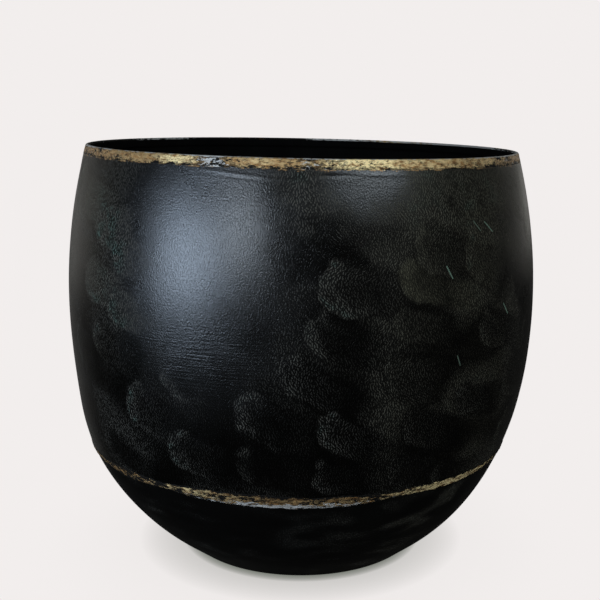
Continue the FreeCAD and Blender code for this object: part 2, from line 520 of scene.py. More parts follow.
    def press(self, dab: Dab, half: float, aside: Array, below: Array,
              ragged: Array, broken: Array) -> tuple[Array, Array, Array]:
        """One mark as the sponge leaves it.

        Args:
            dab: The mark.
            half: Half its height.
            aside: Distances round the pot from its left tip.
            below: Distances down from its left tip.
            ragged: Shift that tears its outline.
            broken: Share of the pigment that its edge keeps.

        Returns:
            Its extent, 0 to 1, its pigment, and places across it, -1 at its upper edge and 1 at its lower.
        """
        cosine, sine = math.cos(math.radians(dab.tilt)), math.sin(math.radians(dab.tilt))
        along = aside * cosine + below * sine + ragged
        down = (below * cosine - aside * sine + 0.6 * ragged) / half
        from_edge = (1 - np.hypot(np.minimum(along / half - 1, 0.0), down)) * half
        crisp = soft_step(*self.crisp_edge, from_edge)
        upper = soft_step(-0.2, 0.7, -down) * soft_step(0.2 * half, 1.2 * half, along)
        extent = crisp + (soft_step(0.0, self.soft_edge, from_edge) - crisp) * upper
        extent = extent * (1 - soft_step(self.fade_from * self.long, self.long, along))
        glow = np.exp(-np.maximum(from_edge, 0.0) / self.edge_fade - np.maximum(along / half - 0.6, 0.0))
        edge = (1 - dab.fill) * glow * broken * (1 - 0.6 * upper)
        return extent, dab.strength * extent * (dab.fill + edge), np.clip(down, -1.0, 1.0)

    def spread(self, turn: Array, run: Array) -> dict[str, Array]:
        """Cover of the face by the marks, laid on from left to right.

        Args:
            turn: Turns of the points.
            run: Runs of the points.

        Returns:
            The cover, 0 to 1, as "dab", its olive share as "olive" and its strokes' angle as "lean".
        """
        degrees = np.degrees(wrapped(turn))
        points = self.section.place(turn, run, 0.0)
        cover = self.ground(points, degrees, run)
        olive = self.right_olive * bump_at(*self.right_side[:2], degrees)
        lean = np.zeros_like(run)
        fine, fine_size = self.fine_tear
        coarse, coarse_size = self.coarse_tear
        ragged = fine * grain(points, fine_size, 3.1) + coarse * grain(points, coarse_size, 9.4)
        broken = 0.30 + 0.70 * soft_step(-0.40, 0.25, grain(points, 9.0 * MM, 6.6))
        chance = random.Random(self.seed + 1)
        for dab in sorted([*self.scattered(), *self.placed], key=lambda mark: (mark.degrees, mark.level)):
            half = self.tall * chance.uniform(*self.heights) / 2
            aside = wrapped(turn - math.radians(dab.degrees)) * self.section.widest_radius
            extent, pigment, down = self.press(dab, half, aside, run - dab.level * MM, ragged, broken)
            cover = np.maximum(cover * (1 - self.wiped * extent), pigment)
            olive = olive * (1 - extent) + dab.olive * extent
            lean = lean * (1 - extent) - self.fan * down * extent
        return {"dab": cover, "olive": olive, "lean": lean}


@dataclass(frozen=True)
class RubbedSheenPatch:
    """A place where the dull black was rubbed to a gloss, put where a softbox's highlight falls, so it is
    partly painted sheen.

    Attributes:
        degrees: Turn of its middle.
        spread: Half its width in degrees.
        level: Run of its middle in millimetres.
        tall: Half its height in millimetres.
        gloss: How far it was rubbed.
    """

    degrees: float
    spread: float
    level: float
    tall: float
    gloss: float


@dataclass(frozen=True)
class RubbedSheenPatches:
    """Where the wall shines: patches on the front and sides put where the softboxes' highlights fall, partly
    painted sheen, and chance ones at the back.
    """

    section: PotSection
    chance_size: float = 75.0 * MM
    back_degrees: float = 85.0
    back_fade: float = 20.0
    tear: float = 0.18
    tear_size: float = 14.0 * MM
    fade: tuple[float, float] = (0.55, 1.35)
    placed: tuple[RubbedSheenPatch, ...] = (
        RubbedSheenPatch(-21.5, 22.5, -58.0, 112.0, 1.0), RubbedSheenPatch(14.0, 12.0, -122.0, 32.0, 1.0),
        RubbedSheenPatch(-86.0, 30.0, -30.0, 160.0, 0.6), RubbedSheenPatch(82.0, 30.0, -40.0, 150.0, 0.6),
    )

    def spread(self, turn: Array, run: Array) -> Array:
        """How far the wall is rubbed.

        Args:
            turn: Turns of the points.
            run: Runs of the points.

        Returns:
            Gloss, 0 to 1.
        """
        degrees = np.degrees(wrapped(turn))
        points = self.section.place(turn, run, 0.0)
        ragged = self.tear * grain(points, self.tear_size, 2.9)
        at_back = soft_step(self.back_degrees, self.back_degrees + self.back_fade, np.abs(degrees))
        gloss = soft_step(-0.1, 0.4, grain(points, self.chance_size, 5.7)) * at_back
        for patch in self.placed:
            aside = (degrees - patch.degrees) / patch.spread
            below = (run / MM - patch.level) / patch.tall
            reach = np.hypot(aside, below) + ragged
            gloss = np.maximum(gloss, patch.gloss * (1 - soft_step(*self.fade, reach)))
        return gloss


@dataclass
class LatheGrid:
    """Grid of points round an axis: rows go down the outside, columns go round with the turn.

    Attributes:
        points: Rows by columns by 3.
        strips: Finish of each strip between a row and the next.
        ring: True where the last column joins the first one.
        values: Named values of the points, which the finishes read.
        bands: Number of lengths that the unrolled map is cut into.
        inside_detail: Share of the map that an inside strip gets, beside an outside one of that width.
        margin: Share of a band that is left free along its edges.
        least: Least width that a strip counts as.
    """

    points: Array
    strips: list[Strip]
    ring: bool = True
    values: dict[str, Array] = field(default_factory=dict)
    bands: int = 3
    inside_detail: float = 0.2
    margin: float = 0.004
    least: float = 0.02 * MM

    def build(self, name: str, finishes: list[Material]) -> Object:
        """Mesh object of this grid.

        Args:
            name: Name of the piece.
            finishes: Materials, in the order of Strip.

        Returns:
            The object, linked to the scene.
        """
        rows, columns = self.points.shape[:2]
        spans = columns if self.ring else columns - 1
        quads = []
        strip_of = []
        for row in range(len(self.strips)):
            below = (row + 1) % rows
            for column in range(spans):
                beside = (column + 1) % columns
                quads.append((row * columns + column, below * columns + column,
                              below * columns + beside, row * columns + beside))
            strip_of += [row] * spans
        if not self.ring:
            quads.append(tuple(row * columns for row in reversed(range(rows))))
            quads.append(tuple(row * columns + columns - 1 for row in range(rows)))
        mesh = bpy.data.meshes.new(name)
        mesh.from_pydata(self.points.reshape(-1, 3).tolist(), [], quads)
        for title, values in self.values.items():
            layer = mesh.attributes.new(title, "FLOAT", "POINT")
            layer.data.foreach_set("value", np.ascontiguousarray(values, dtype=np.float32).ravel())
        for finish in finishes:
            mesh.materials.append(finish)
        slots = [self.strips[row].value for row in strip_of]
        slots += [Strip.INSIDE.value] * (len(quads) - len(slots))
        mesh.polygons.foreach_set("material_index", [min(slot, len(finishes) - 1) for slot in slots])
        self.unroll(mesh, spans)
        self.close_poles(mesh)
        mesh.polygons.foreach_set("use_smooth", [True] * len(mesh.polygons))
        mesh.set_sharp_from_angle(angle=SHARP_ANGLE)
        piece = bpy.data.objects.new(name, mesh)
        bpy.context.scene.collection.objects.link(piece)
        return piece

    def unroll(self, mesh: Mesh, spans: int) -> None:
        """Lay the strips out flat in bands, as the map that the finish is kept on.

        Args:
            mesh: Mesh whose quads come strip by strip.
            spans: Number of quads in a strip.
        """
        detail = {Strip.OUTSIDE: 1.0, Strip.INSIDE: self.inside_detail}
        middle = self.points[:, self.points.shape[1] // 2]
        widths = []
        for row, strip in enumerate(self.strips):
            step = middle[(row + 1) % len(middle)] - middle[row]
            widths.append(max(float(np.linalg.norm(step)), self.least) * detail[strip])
        edges = np.concatenate([[0.0], np.cumsum(widths)]) / sum(widths)
        per_band = math.ceil(spans / self.bands)
        margin = self.margin
        corners = np.zeros((len(mesh.loops), 2), np.float32)
        at = 0
        for row in range(len(self.strips)):
            for column in range(spans):
                band, place = divmod(column, per_band)
                left = margin + (1 - 2 * margin) * place / per_band
                right = margin + (1 - 2 * margin) * (place + 1) / per_band
                top = (band + margin + (1 - 2 * margin) * edges[row]) / self.bands
                foot = (band + margin + (1 - 2 * margin) * edges[row + 1]) / self.bands
                corners[at:at + 4] = ((left, top), (left, foot), (right, foot), (right, top))
                at += 4
        layer = mesh.uv_layers.new(name=BAKE_MAP)
        layer.data.foreach_set("uv", corners.ravel())

    @staticmethod
    def close_poles(mesh: Mesh) -> None:
        """Merge the points that meet at the middle of a disc, and drop lines without faces.

        Args:
            mesh: The mesh to clean.
        """
        work = bmesh.new()
        work.from_mesh(mesh)
        bmesh.ops.remove_doubles(work, verts=work.verts, dist=POLE_MERGE)
        bmesh.ops.delete(work, geom=[edge for edge in work.edges if edge.is_wire], context="EDGES")
        work.to_mesh(mesh)
        work.free()


class NodeBench:
    """Adds and links the nodes of one tree, so that a finish reads as a recipe."""

    def __init__(self, tree: NodeTree) -> None:
        """Take the tree that the nodes go into."""
        self.tree = tree

    def add(self, kind: str, inputs: dict[str | int, Value] | None = None,
            **options: object) -> bpy.types.Node:
        """New node.

        Args:
            kind: Name of its type.
            inputs: Values of its inputs, by name or place.
            options: Values of its options.

        Returns:
            The node, with its options set and its inputs fed.
        """
        node = self.tree.nodes.new(kind)
        for name, value in options.items():
            setattr(node, name, value)
        for name, value in (inputs or {}).items():
            self.feed(node.inputs[name], value)
        return node

    def feed(self, socket: Socket, value: Value) -> None:
        """Link an output to a socket, or set a number or a colour on it.

        Args:
            socket: Input of a node.
            value: The output, number or colour.
        """
        if isinstance(value, Socket):
            self.tree.links.new(value, socket)
        elif socket.type == "RGBA":
            socket.default_value = (*value, 1.0)
        else:
            socket.default_value = value

    def math(self, operation: str, first: Value, second: Value = 0.0) -> Socket:
        """Result of one operation on numbers."""
        return self.add("ShaderNodeMath", {0: first, 1: second}, operation=operation).outputs[0]

    def times(self, first: Value, second: Value) -> Socket:
        """Product of two numbers."""
        return self.math("MULTIPLY", first, second)

    def plus(self, first: Value, second: Value) -> Socket:
        """Sum of two numbers."""
        return self.math("ADD", first, second)

    def minus(self, first: Value, second: Value) -> Socket:
        """Difference of two numbers."""
        return self.math("SUBTRACT", first, second)

    def rest(self, share: Value) -> Socket:
        """What a share leaves of 1."""
        return self.minus(1.0, share)

    def vector(self, operation: str, *inputs: Value) -> Socket:
        """Vector that an operation on vectors gives."""
        node = self.add("ShaderNodeVectorMath", dict(enumerate(inputs)), operation=operation)
        return node.outputs["Vector"]

    def dot(self, first: Value, second: Value) -> Socket:
        """Dot product of two vectors."""
        node = self.add("ShaderNodeVectorMath", {0: first, 1: second}, operation="DOT_PRODUCT")
        return node.outputs["Value"]

    def step(self, value: Value, low: float, high: float) -> Socket:
        """Share that goes from 0 at low to 1 at high with soft ends."""
        inputs = {"Value": value, "From Min": low, "From Max": high}
        return self.add("ShaderNodeMapRange", inputs, interpolation_type="SMOOTHSTEP").outputs["Result"]

    def between(self, share: Value, low: float, high: float) -> Socket:
        """Number between low and high at a share."""
        inputs = {"Value": share, "To Min": low, "To Max": high}
        return self.add("ShaderNodeMapRange", inputs).outputs["Result"]

    def tint(self, share: Value, first: Value, second: Value) -> Socket:
        """Colour between two colours.

        Args:
            share: Share of the second colour.
            first: Colour at share 0.
            second: Colour at share 1.

        Returns:
            The mixed colour.
        """
        node = self.add("ShaderNodeMix", data_type="RGBA")
        sockets = {socket.identifier: socket for socket in node.inputs}
        self.feed(sockets["Factor_Float"], share)
        self.feed(sockets["A_Color"], first)
        self.feed(sockets["B_Color"], second)
        return next(socket for socket in node.outputs if socket.identifier == "Result_Color")

    def noise(self, place: Value, scale: float, detail: float = 2.0, rough: float = 0.5) -> Socket:
        """Noise between 0 and 1."""
        inputs = {"Vector": place, "Scale": scale, "Detail": detail, "Roughness": rough}
        return self.add("ShaderNodeTexNoise", inputs).outputs[0]

    def stretched(self, place: Value, scale: tuple[float, float, float]) -> Socket:
        """Place with each axis scaled by its own number."""
        return self.vector("MULTIPLY", place, scale)

    def value_of(self, name: str) -> Socket:
        """Named value of the mesh's points."""
        return self.add("ShaderNodeAttribute", attribute_name=name).outputs["Fac"]

    def object_place(self) -> Socket:
        """Place in the piece's own frame in millimetres."""
        return self.stretched(self.add("ShaderNodeTexCoord").outputs["Object"], (1 / MM, 1 / MM, 1 / MM))

    def use(self, group: NodeTree, **inputs: Value) -> bpy.types.Node:
        """Placed node group with its inputs fed by name."""
        return self.add("ShaderNodeGroup", inputs, node_tree=group)

    def bump(self, height: Value, strength: float, distance: float) -> Socket:
        """Normal that a height makes."""
        inputs = {"Strength": strength, "Distance": distance, "Height": height}
        return self.add("ShaderNodeBump", inputs).outputs["Normal"]


class GroupMaker:
    """Starts a shader node group and closes it with its outputs."""

    def __init__(self, name: str, inputs: dict[str, Value]) -> None:
        """Make the group and its input sockets.

        Args:
            name: Name of the group.
            inputs: Usual value of each named input.
        """
        self.tree = bpy.data.node_groups.new(name, "ShaderNodeTree")
        for title, usual in inputs.items():
            kind = "NodeSocketVector" if isinstance(usual, tuple) else "NodeSocketFloat"
            socket = self.tree.interface.new_socket(name=title, in_out="INPUT", socket_type=kind)
            socket.default_value = usual
        self.bench = NodeBench(self.tree)
        self.inputs = self.bench.add("NodeGroupInput").outputs

    def close(self, outputs: dict[str, Socket]) -> NodeTree:
        """Make the output sockets and link them.

        Args:
            outputs: Socket of the group that each named output gives.

        Returns:
            The finished group.
        """
        for title, socket in outputs.items():
            kind = "NodeSocketVector" if socket.type == "VECTOR" else "NodeSocketFloat"
            self.tree.interface.new_socket(name=title, in_out="OUTPUT", socket_type=kind)
        end = self.bench.add("NodeGroupOutput")
        for title, socket in outputs.items():
            self.bench.feed(end.inputs[title], socket)
        return self.tree


class Effects:
    """Shader node groups of the finishes, each built once."""

    def __init__(self, section: PotSection) -> None:
        """Build the groups.

        Args:
            section: Outline of the pot.
        """
        self.sheet_place = self.make_sheet_place(section.widest_radius / MM)
        self.sponge_strokes = self.make_sponge_strokes()
        self.clouds = self.make_clouds()
        self.flakes = self.make_flakes()
        self.scratch = self.make_scratch()

    @staticmethod
    def make_sheet_place(radius: float) -> NodeTree:
        """Place on the unrolled sheet.

        Args:
            radius: Radius in millimetres that the sheet is unrolled from.

        Returns:
            Group that gives millimetres round and millimetres down.
        """
        maker = GroupMaker("sheet_place", {})
        bench = maker.bench
        split = bench.add("ShaderNodeSeparateXYZ", {0: bench.add("ShaderNodeTexCoord").outputs["Object"]})
        turn = bench.math("ARCTAN2", split.outputs["X"], bench.times(split.outputs["Y"], -1.0))
        down = bench.times(bench.value_of("run"), 1 / MM)
        join = bench.add("ShaderNodeCombineXYZ", {"X": bench.times(turn, radius), "Y": down})
        return maker.close({"Place": join.outputs["Vector"]})

    @staticmethod
    def make_sponge_strokes() -> NodeTree:
        """Short strokes side by side, as a coarse sponge leaves them.

        Returns:
            Group that gives their mask, upright where Lean is 0.
        """
        maker = GroupMaker("sponge_strokes", {"Place": (0.0, 0.0, 0.0), "Lean": 0.0,
                                              "Length": 2.6, "Pitch": 1.85})
        bench = maker.bench
        place = maker.inputs["Place"]
        fan = bench.times(bench.minus(bench.noise(place, 0.05, 1.0), 0.5), 1.8)
        strokes = bench.add("ShaderNodeTexGabor", {
            "Vector": place,
            "Scale": bench.math("DIVIDE", 1.0, maker.inputs["Length"]),
            "Frequency": bench.math("DIVIDE", maker.inputs["Length"], maker.inputs["Pitch"]),
            "Anisotropy": 0.58,
            "Orientation": bench.plus(maker.inputs["Lean"], fan),
        })
        uneven = bench.minus(bench.noise(place, 0.5, 2.0), 0.5)
        level = bench.plus(strokes.outputs["Value"], bench.times(uneven, 0.38))
        return maker.close({"Stroke": bench.step(level, 0.52, 0.66)})

    @staticmethod
    def make_clouds() -> NodeTree:
        """Slow change of tone over a surface, with fine specks in it.

        Returns:
            Group that gives both as shares.
        """
        maker = GroupMaker("clouds", {"Place": (0.0, 0.0, 0.0), "Size": 40.0})
        bench = maker.bench
        scaled = bench.vector("DIVIDE", maker.inputs["Place"], maker.inputs["Size"])
        tone = bench.noise(scaled, 1.0, 5.0, 0.6)
        speck = bench.noise(scaled, 34.0, 2.0, 0.6)
        return maker.close({"Tone": bench.step(tone, 0.3, 0.7), "Speck": speck})

    @staticmethod
    def make_flakes() -> NodeTree:
        """Ragged patches where a finish has flaked or worn off.

        Returns:
            Group that gives their mask.
        """
        maker = GroupMaker("flakes", {"Place": (0.0, 0.0, 0.0), "Size": 6.0, "Worn": 0.0})
        bench = maker.bench
        scaled = bench.vector("DIVIDE", maker.inputs["Place"], maker.inputs["Size"])
        ragged = bench.noise(scaled, 1.0, 6.0, 0.68)
        fine = bench.noise(scaled, 5.0, 3.0, 0.6)
        level = bench.plus(ragged, bench.times(bench.minus(fine, 0.5), 0.35))
        level = bench.plus(level, bench.minus(maker.inputs["Worn"], 0.5))
        return maker.close({"Patch": bench.step(level, 0.46, 0.54)})

    @staticmethod
    def make_scratch() -> NodeTree:
        """One straight scratch between two places of the sheet.

        Returns:
            Group that gives its mask.
        """
        maker = GroupMaker("scratch", {"Place": (0.0, 0.0, 0.0), "Start": (0.0, 0.0, 0.0),
                                       "End": (0.0, 1.0, 0.0), "Width": 0.7})
        bench = maker.bench
        reach = bench.vector("SUBTRACT", maker.inputs["Place"], maker.inputs["Start"])
        line = bench.vector("SUBTRACT", maker.inputs["End"], maker.inputs["Start"])
        share = bench.math("DIVIDE", bench.dot(reach, line), bench.dot(line, line))
        share = bench.math("MINIMUM", bench.math("MAXIMUM", share, 0.0), 1.0)
        nearest = bench.add("ShaderNodeVectorMath", {0: line, "Scale": share}, operation="SCALE")
        miss = bench.vector("SUBTRACT", reach, nearest.outputs["Vector"])
        distance = bench.add("ShaderNodeVectorMath", {0: miss}, operation="LENGTH").outputs["Value"]
        ratio = bench.math("DIVIDE", distance, maker.inputs["Width"])
        return maker.close({"Line": bench.rest(bench.step(ratio, 0.25, 0.6))})


class Finish:
    """A material with one Principled shader and a bench to feed it."""

    def __init__(self, name: str) -> None:
        """Make the material and find its shader.

        Args:
            name: Name of the material.
        """
        self.material = bpy.data.materials.new(name)
        self.material.use_nodes = True
        self.bench = NodeBench(self.material.node_tree)
        self.shader = self.material.node_tree.nodes["Principled BSDF"]

    def set(self, **sockets: Value) -> None:
        """Feed sockets of the shader, words of a name joined by underscores."""
        for name, value in sockets.items():
            self.bench.feed(self.shader.inputs[name.replace("_", " ")], value)


@dataclass(frozen=True)
class BlackenedIron:
    """Satin black patina, dabbed over with grey-green sponge marks.

    Attributes:
        iron: Metal where it was rubbed, on patches put where the softboxes' highlights fall, so partly
            painted sheen.
        sooty: Metal under the dull black.
        faint: Thin pigment.
        fresh: Heavy pigment.
        mint: Heavy pigment where it is greener.
        olive: Pigment where it is browner.
        gilt: Gilt spilt below the hoop.
        bare: Metal in a scratch.
        smooth: Least roughness of the metal.
        dull: Most roughness of the metal.
        pigment_rough: Roughness of the pigment.
        grazing: Grey of the sheen at a grazing angle.
        pigment_kept: Share of the pigment that is left where the metal was rubbed bright, which keeps the
            painted sheen clear.
        film: Pigment between the strokes, where it isn't olive and where it is.
        body: Most pigment of a stroke.
        tone_size: Size of the clouds of tone in millimetres.
        spill_reach: Millimetres below the hoop that the gilt spills over.
        spill_size: Size of its ragged patches in millimetres.
        spill_metal: Share of the metal that it covers.
        scratch_width: Width of a scratch in millimetres.
        scratches: Turn in degrees and run in millimetres of the two ends of each scratch, and its strength.
    """

    effects: Effects
    section: PotSection
    name: str = "blackened_iron"
    iron: Colour = (0.0510, 0.0521, 0.0538)
    sooty: Colour = (0.0150, 0.0148, 0.0142)
    faint: Colour = (0.0560, 0.0530, 0.0450)
    fresh: Colour = (0.118, 0.117, 0.100)
    mint: Colour = (0.076, 0.130, 0.110)
    olive: Colour = (0.080, 0.075, 0.040)
    gilt: Colour = (0.26, 0.155, 0.070)
    bare: Colour = (0.13, 0.20, 0.15)
    smooth: float = 0.265
    dull: float = 0.305
    pigment_rough: float = 0.74
    grazing: float = 0.55
    pigment_kept: float = 0.12
    film: tuple[float, float] = (0.10, 0.60)
    body: float = 0.94
    tone_size: float = 46.0
    spill_reach: float = 2.4
    spill_size: float = 5.0
    spill_metal: float = 0.45
    scratch_width: float = 1.15
    scratches: tuple[tuple[float, float, float, float, float], ...] = (
        (44.5, -80.0, 47.2, -72.0, 0.75), (40.7, -81.5, 42.8, -74.0, 0.35), (31.9, -51.0, 33.4, -42.0, 1.0),
        (50.5, -16.0, 52.4, -7.5, 1.0), (35.0, 16.0, 36.0, 23.5, 0.55),
    )

    def sheet_point(self, degrees: float, run: float) -> tuple[float, float, float]:
        """Place on the unrolled sheet in millimetres."""
        return math.radians(degrees) * self.section.widest_radius / MM, run, 0.0

    def pigment_share(self, bench: NodeBench, dab: Value, stroke: Value, speck: Value) -> Socket:
        """How much pigment covers the metal.

        Args:
            bench: Bench of the material.
            dab: Cover by the sponge marks.
            stroke: Mask of the strokes.
            speck: Fine noise that makes the cover uneven.

        Returns:
            The share, a film between the strokes and a body on them.
        """
        loaded = bench.step(bench.times(dab, bench.between(speck, 0.6, 1.4)), 0.02, 0.38)
        film = bench.between(bench.value_of("olive"), *self.film)
        strokes = bench.times(bench.minus(self.body, film), stroke)
        return bench.times(loaded, bench.plus(film, strokes))

    def pigment_colour(self, bench: NodeBench, place: Value, dab: Value) -> Socket:
        """Colour of the pigment.

        Args:
            bench: Bench of the material.
            place: Place on the unrolled sheet.
            dab: Cover by the sponge marks.

        Returns:
            From faint to fresh, greener in patches and olive in some marks.
        """
        minty = bench.step(bench.noise(place, 0.09, 2.0), 0.42, 0.58)
        fresh = bench.tint(minty, self.fresh, self.mint)
        colour = bench.tint(bench.step(dab, 0.28, 0.90), self.faint, fresh)
        return bench.tint(bench.value_of("olive"), colour, self.olive)

    def spill(self, bench: NodeBench) -> Socket:
        """Gilt that ran below the hoop.

        Args:
            bench: Bench of the material.

        Returns:
            Its share, ragged at the lower edge.
        """
        below = bench.value_of("to_gilt")
        worn = bench.between(bench.math("DIVIDE", below, self.spill_reach), 0.50, 0.80)
        along = bench.stretched(bench.object_place(), GILT_GRAIN)
        torn = bench.use(self.effects.flakes, Place=along, Size=self.spill_size, Worn=worn)
        return bench.times(bench.rest(torn.outputs["Patch"]), bench.rest(bench.step(below, 1.6, 3.0)))

    def relief(self, bench: NodeBench, place: Value, stroke: Value, polish_and_sheen: Value, speck: Value) -> Socket:
        """Height of the fine surface.

        Args:
            bench: Bench of the material.
            place: Place on the unrolled sheet.
            stroke: Mask of the strokes.
            polish_and_sheen: How far the metal was rubbed, partly painted sheen.
            speck: Fine noise.

        Returns:
            Brush streaks, strokes and grit added up.
        """
        streaks = bench.noise(bench.stretched(place, (0.02, 0.75, 1.0)), 1.0, 3.0, 0.6)
        streaks = bench.times(streaks, bench.between(bench.value_of("brushed"), 0.25, 2.2))
        height = bench.plus(streaks, bench.times(stroke, bench.between(polish_and_sheen, 0.6, 0.34)))
        return bench.plus(height, bench.times(speck, bench.between(polish_and_sheen, 0.6, 1.6)))

    def make(self) -> Material:
        """Build the material.

        Returns:
            The material.
        """
        finish = Finish(self.name)
        bench = finish.bench
        place = bench.use(self.effects.sheet_place).outputs["Place"]
        strokes = bench.use(self.effects.sponge_strokes, Place=place, Lean=bench.value_of("lean"))
        stroke = strokes.outputs["Stroke"]
        clouds = bench.use(self.effects.clouds, Place=place, Size=self.tone_size).outputs
        polish_and_sheen = bench.value_of("polish_and_sheen")
        kept = bench.between(bench.math("POWER", polish_and_sheen, 2.0), 1.0, self.pigment_kept)
        dab = bench.times(bench.value_of("dab"), kept)
        pigment = self.pigment_share(bench, dab, stroke, clouds["Speck"])
        # Painted sheen, partly: the rubbed gloss lifts the metal from sooty to iron on patches put where the
        # softboxes' highlights fall.
        rubbed = bench.times(polish_and_sheen, bench.between(clouds["Tone"], 0.85, 1.0))
        rubbed = bench.times(rubbed, bench.rest(bench.step(dab, 0.30, 0.95)))
        rubbed = bench.times(rubbed, bench.between(stroke, 1.0, 0.66))
        iron = bench.tint(rubbed, self.sooty, self.iron)
        colour = bench.tint(pigment, iron, self.pigment_colour(bench, place, dab))
        metal = bench.rest(pigment)
        rough = bench.between(clouds["Tone"], self.smooth, self.dull)
        rough = bench.plus(rough, bench.times(pigment, self.pigment_rough - self.dull))
        for start_turn, start_run, end_turn, end_run, strength in self.scratches:
            start = self.sheet_point(start_turn, start_run)
            end = self.sheet_point(end_turn, end_run)
            line = bench.use(self.effects.scratch, Place=place, Start=start, End=end,
                             Width=self.scratch_width).outputs["Line"]
            colour = bench.tint(bench.times(line, strength), colour, self.bare)
            metal = bench.times(metal, bench.rest(line))
        spill = self.spill(bench)
        colour = bench.tint(spill, colour, self.gilt)
        metal = bench.times(metal, bench.rest(bench.times(spill, self.spill_metal)))
        height = self.relief(bench, place, stroke, polish_and_sheen, clouds["Speck"])
        finish.set(Base_Color=colour, Metallic=metal, Roughness=rough, Specular_IOR_Level=0.25,
                   Specular_Tint=(self.grazing, self.grazing, self.grazing),
                   Normal=bench.bump(height, 0.42, 0.3 * MM))
        return finish.material


@dataclass(frozen=True)
class SootBlack:
    """Dull black of the unpolished inside.

    Attributes:
        deep: Darkest soot.
        ashy: Greyest soot.
        dusty: Dust on the bottom.
        dust_top: Height in millimetres at which the dust ends.
    """

    effects: Effects
    name: str = "soot_black"
    deep: Colour = (0.0016, 0.0016, 0.0017)
    ashy: Colour = (0.0052, 0.0052, 0.0050)
    dusty: Colour = (0.150, 0.142, 0.128)
    dust_top: float = 305.0

    def make(self) -> Material:
        """Build the material, with dust that thickens from its top level down to the bottom.

        Returns:
            The material.
        """
        finish = Finish(self.name)
        bench = finish.bench
        place = bench.object_place()
        clouds = bench.use(self.effects.clouds, Place=place, Size=30.0).outputs
        split = bench.add("ShaderNodeSeparateXYZ", {0: place})
        depth = bench.rest(bench.step(split.outputs["Z"], 0.0, self.dust_top))
        settled = bench.times(depth, bench.between(clouds["Tone"], 0.45, 1.0))
        soot = bench.tint(bench.times(clouds["Tone"], clouds["Speck"]), self.deep, self.ashy)
        finish.set(Base_Color=bench.tint(settled, soot, self.dusty), Specular_IOR_Level=0.06,
                   Roughness=bench.between(clouds["Speck"], 0.72, 0.95),
                   Normal=bench.bump(clouds["Speck"], 0.25, 0.3 * MM))
        return finish.material


@dataclass(frozen=True)
class WornGilt:
    """Gilt rubbed over rough metal, with dark and silver-grey bare patches.

    Attributes:
        shadow: Dull gilt.
        gold: Usual gilt.
        glint: Gilt where it was rubbed bright, and painted highlight where it mirrors the softboxes.
        dark: Black under worn gilt.
        silver: Metal rubbed bare.
        metallic: How metallic the gilt is.
        tone_size: Size of the clouds of tone in millimetres.
        patch_size: Size of the worn patches in millimetres.
        wear: How much of the face the patches take.
        speck_size: Size of the worn specks in millimetres.
        speck_wear: How much of the face the specks take.
        silver_size: Size of the bare patches in millimetres.
        silver_wear: How much of the face the bare patches take.
        silver_shift: Shift that sets them apart from the worn patches.
        edge_from: Share of the way across at which the edge wear sets in.
        edge_wear: Wear that the edge adds.
        grain: How the patches are stretched round the pot.
    """

    effects: Effects
    name: str = "worn_gilt"
    shadow: Colour = (0.190, 0.098, 0.036)
    gold: Colour = (0.395, 0.213, 0.076)
    glint: Colour = (1.00, 0.80, 0.42)
    dark: Colour = (0.010, 0.009, 0.008)
    silver: Colour = (0.56, 0.55, 0.53)
    metallic: float = 0.55
    tone_size: float = 3.8
    patch_size: float = 5.0
    wear: float = 0.365
    speck_size: float = 1.7
    speck_wear: float = 0.41
    silver_size: float = 2.6
    silver_wear: float = 0.27
    silver_shift: tuple[float, float, float] = (31.0, 17.0, 5.0)
    edge_from: float = 0.55
    edge_wear: float = 0.13
    grain: tuple[float, float, float] = GILT_GRAIN

    def make(self) -> Material:
        """Build the material.

        Returns:
            The material.
        """
        finish = Finish(self.name)
        bench = finish.bench
        along = bench.stretched(bench.object_place(), self.grain)
        clouds = bench.use(self.effects.clouds, Place=along, Size=self.tone_size).outputs
        to_edge = bench.step(bench.value_of("across"), self.edge_from, 1.05)
        edge = bench.times(to_edge, self.edge_wear)
        worn = bench.plus(bench.value_of("worn"), edge)
        patch = bench.use(self.effects.flakes, Place=along, Size=self.patch_size,
                          Worn=bench.plus(worn, self.wear)).outputs["Patch"]
        speck = bench.use(self.effects.flakes, Place=along, Size=self.speck_size,
                          Worn=bench.plus(worn, self.speck_wear)).outputs["Patch"]
        dark = bench.math("MAXIMUM", patch, bench.times(speck, 0.75))
        shifted = bench.vector("ADD", along, self.silver_shift)
        rubbed = bench.plus(bench.value_of("silver"), self.silver_wear)
        silver = bench.use(self.effects.flakes, Place=shifted, Size=self.silver_size,
                           Worn=rubbed).outputs["Patch"]
        gold = bench.tint(clouds["Tone"], self.shadow, self.gold)
        # Painted highlight, partly: where the bright value is raised on the front, the gilt is tinted to
        # glint where it mirrors the softboxes.
        blotch = bench.step(bench.noise(along, 0.34, 4.0, 0.6), 0.34, 0.60)
        bright = bench.times(blotch, bench.value_of("bright"))
        gold = bench.tint(bright, gold, self.glint)
        colour = bench.tint(dark, gold, self.dark)
        colour = bench.tint(silver, colour, self.silver)
        rough = bench.between(clouds["Speck"], 0.28, 0.56)
        rough = bench.plus(rough, bench.times(dark, 0.26))
        height = bench.minus(clouds["Speck"], bench.times(dark, 0.6))
        finish.set(Base_Color=colour, Metallic=self.metallic, Roughness=rough, Specular_IOR_Level=0.2,
                   Normal=bench.bump(height, 0.45, 0.35 * MM))
        return finish.material


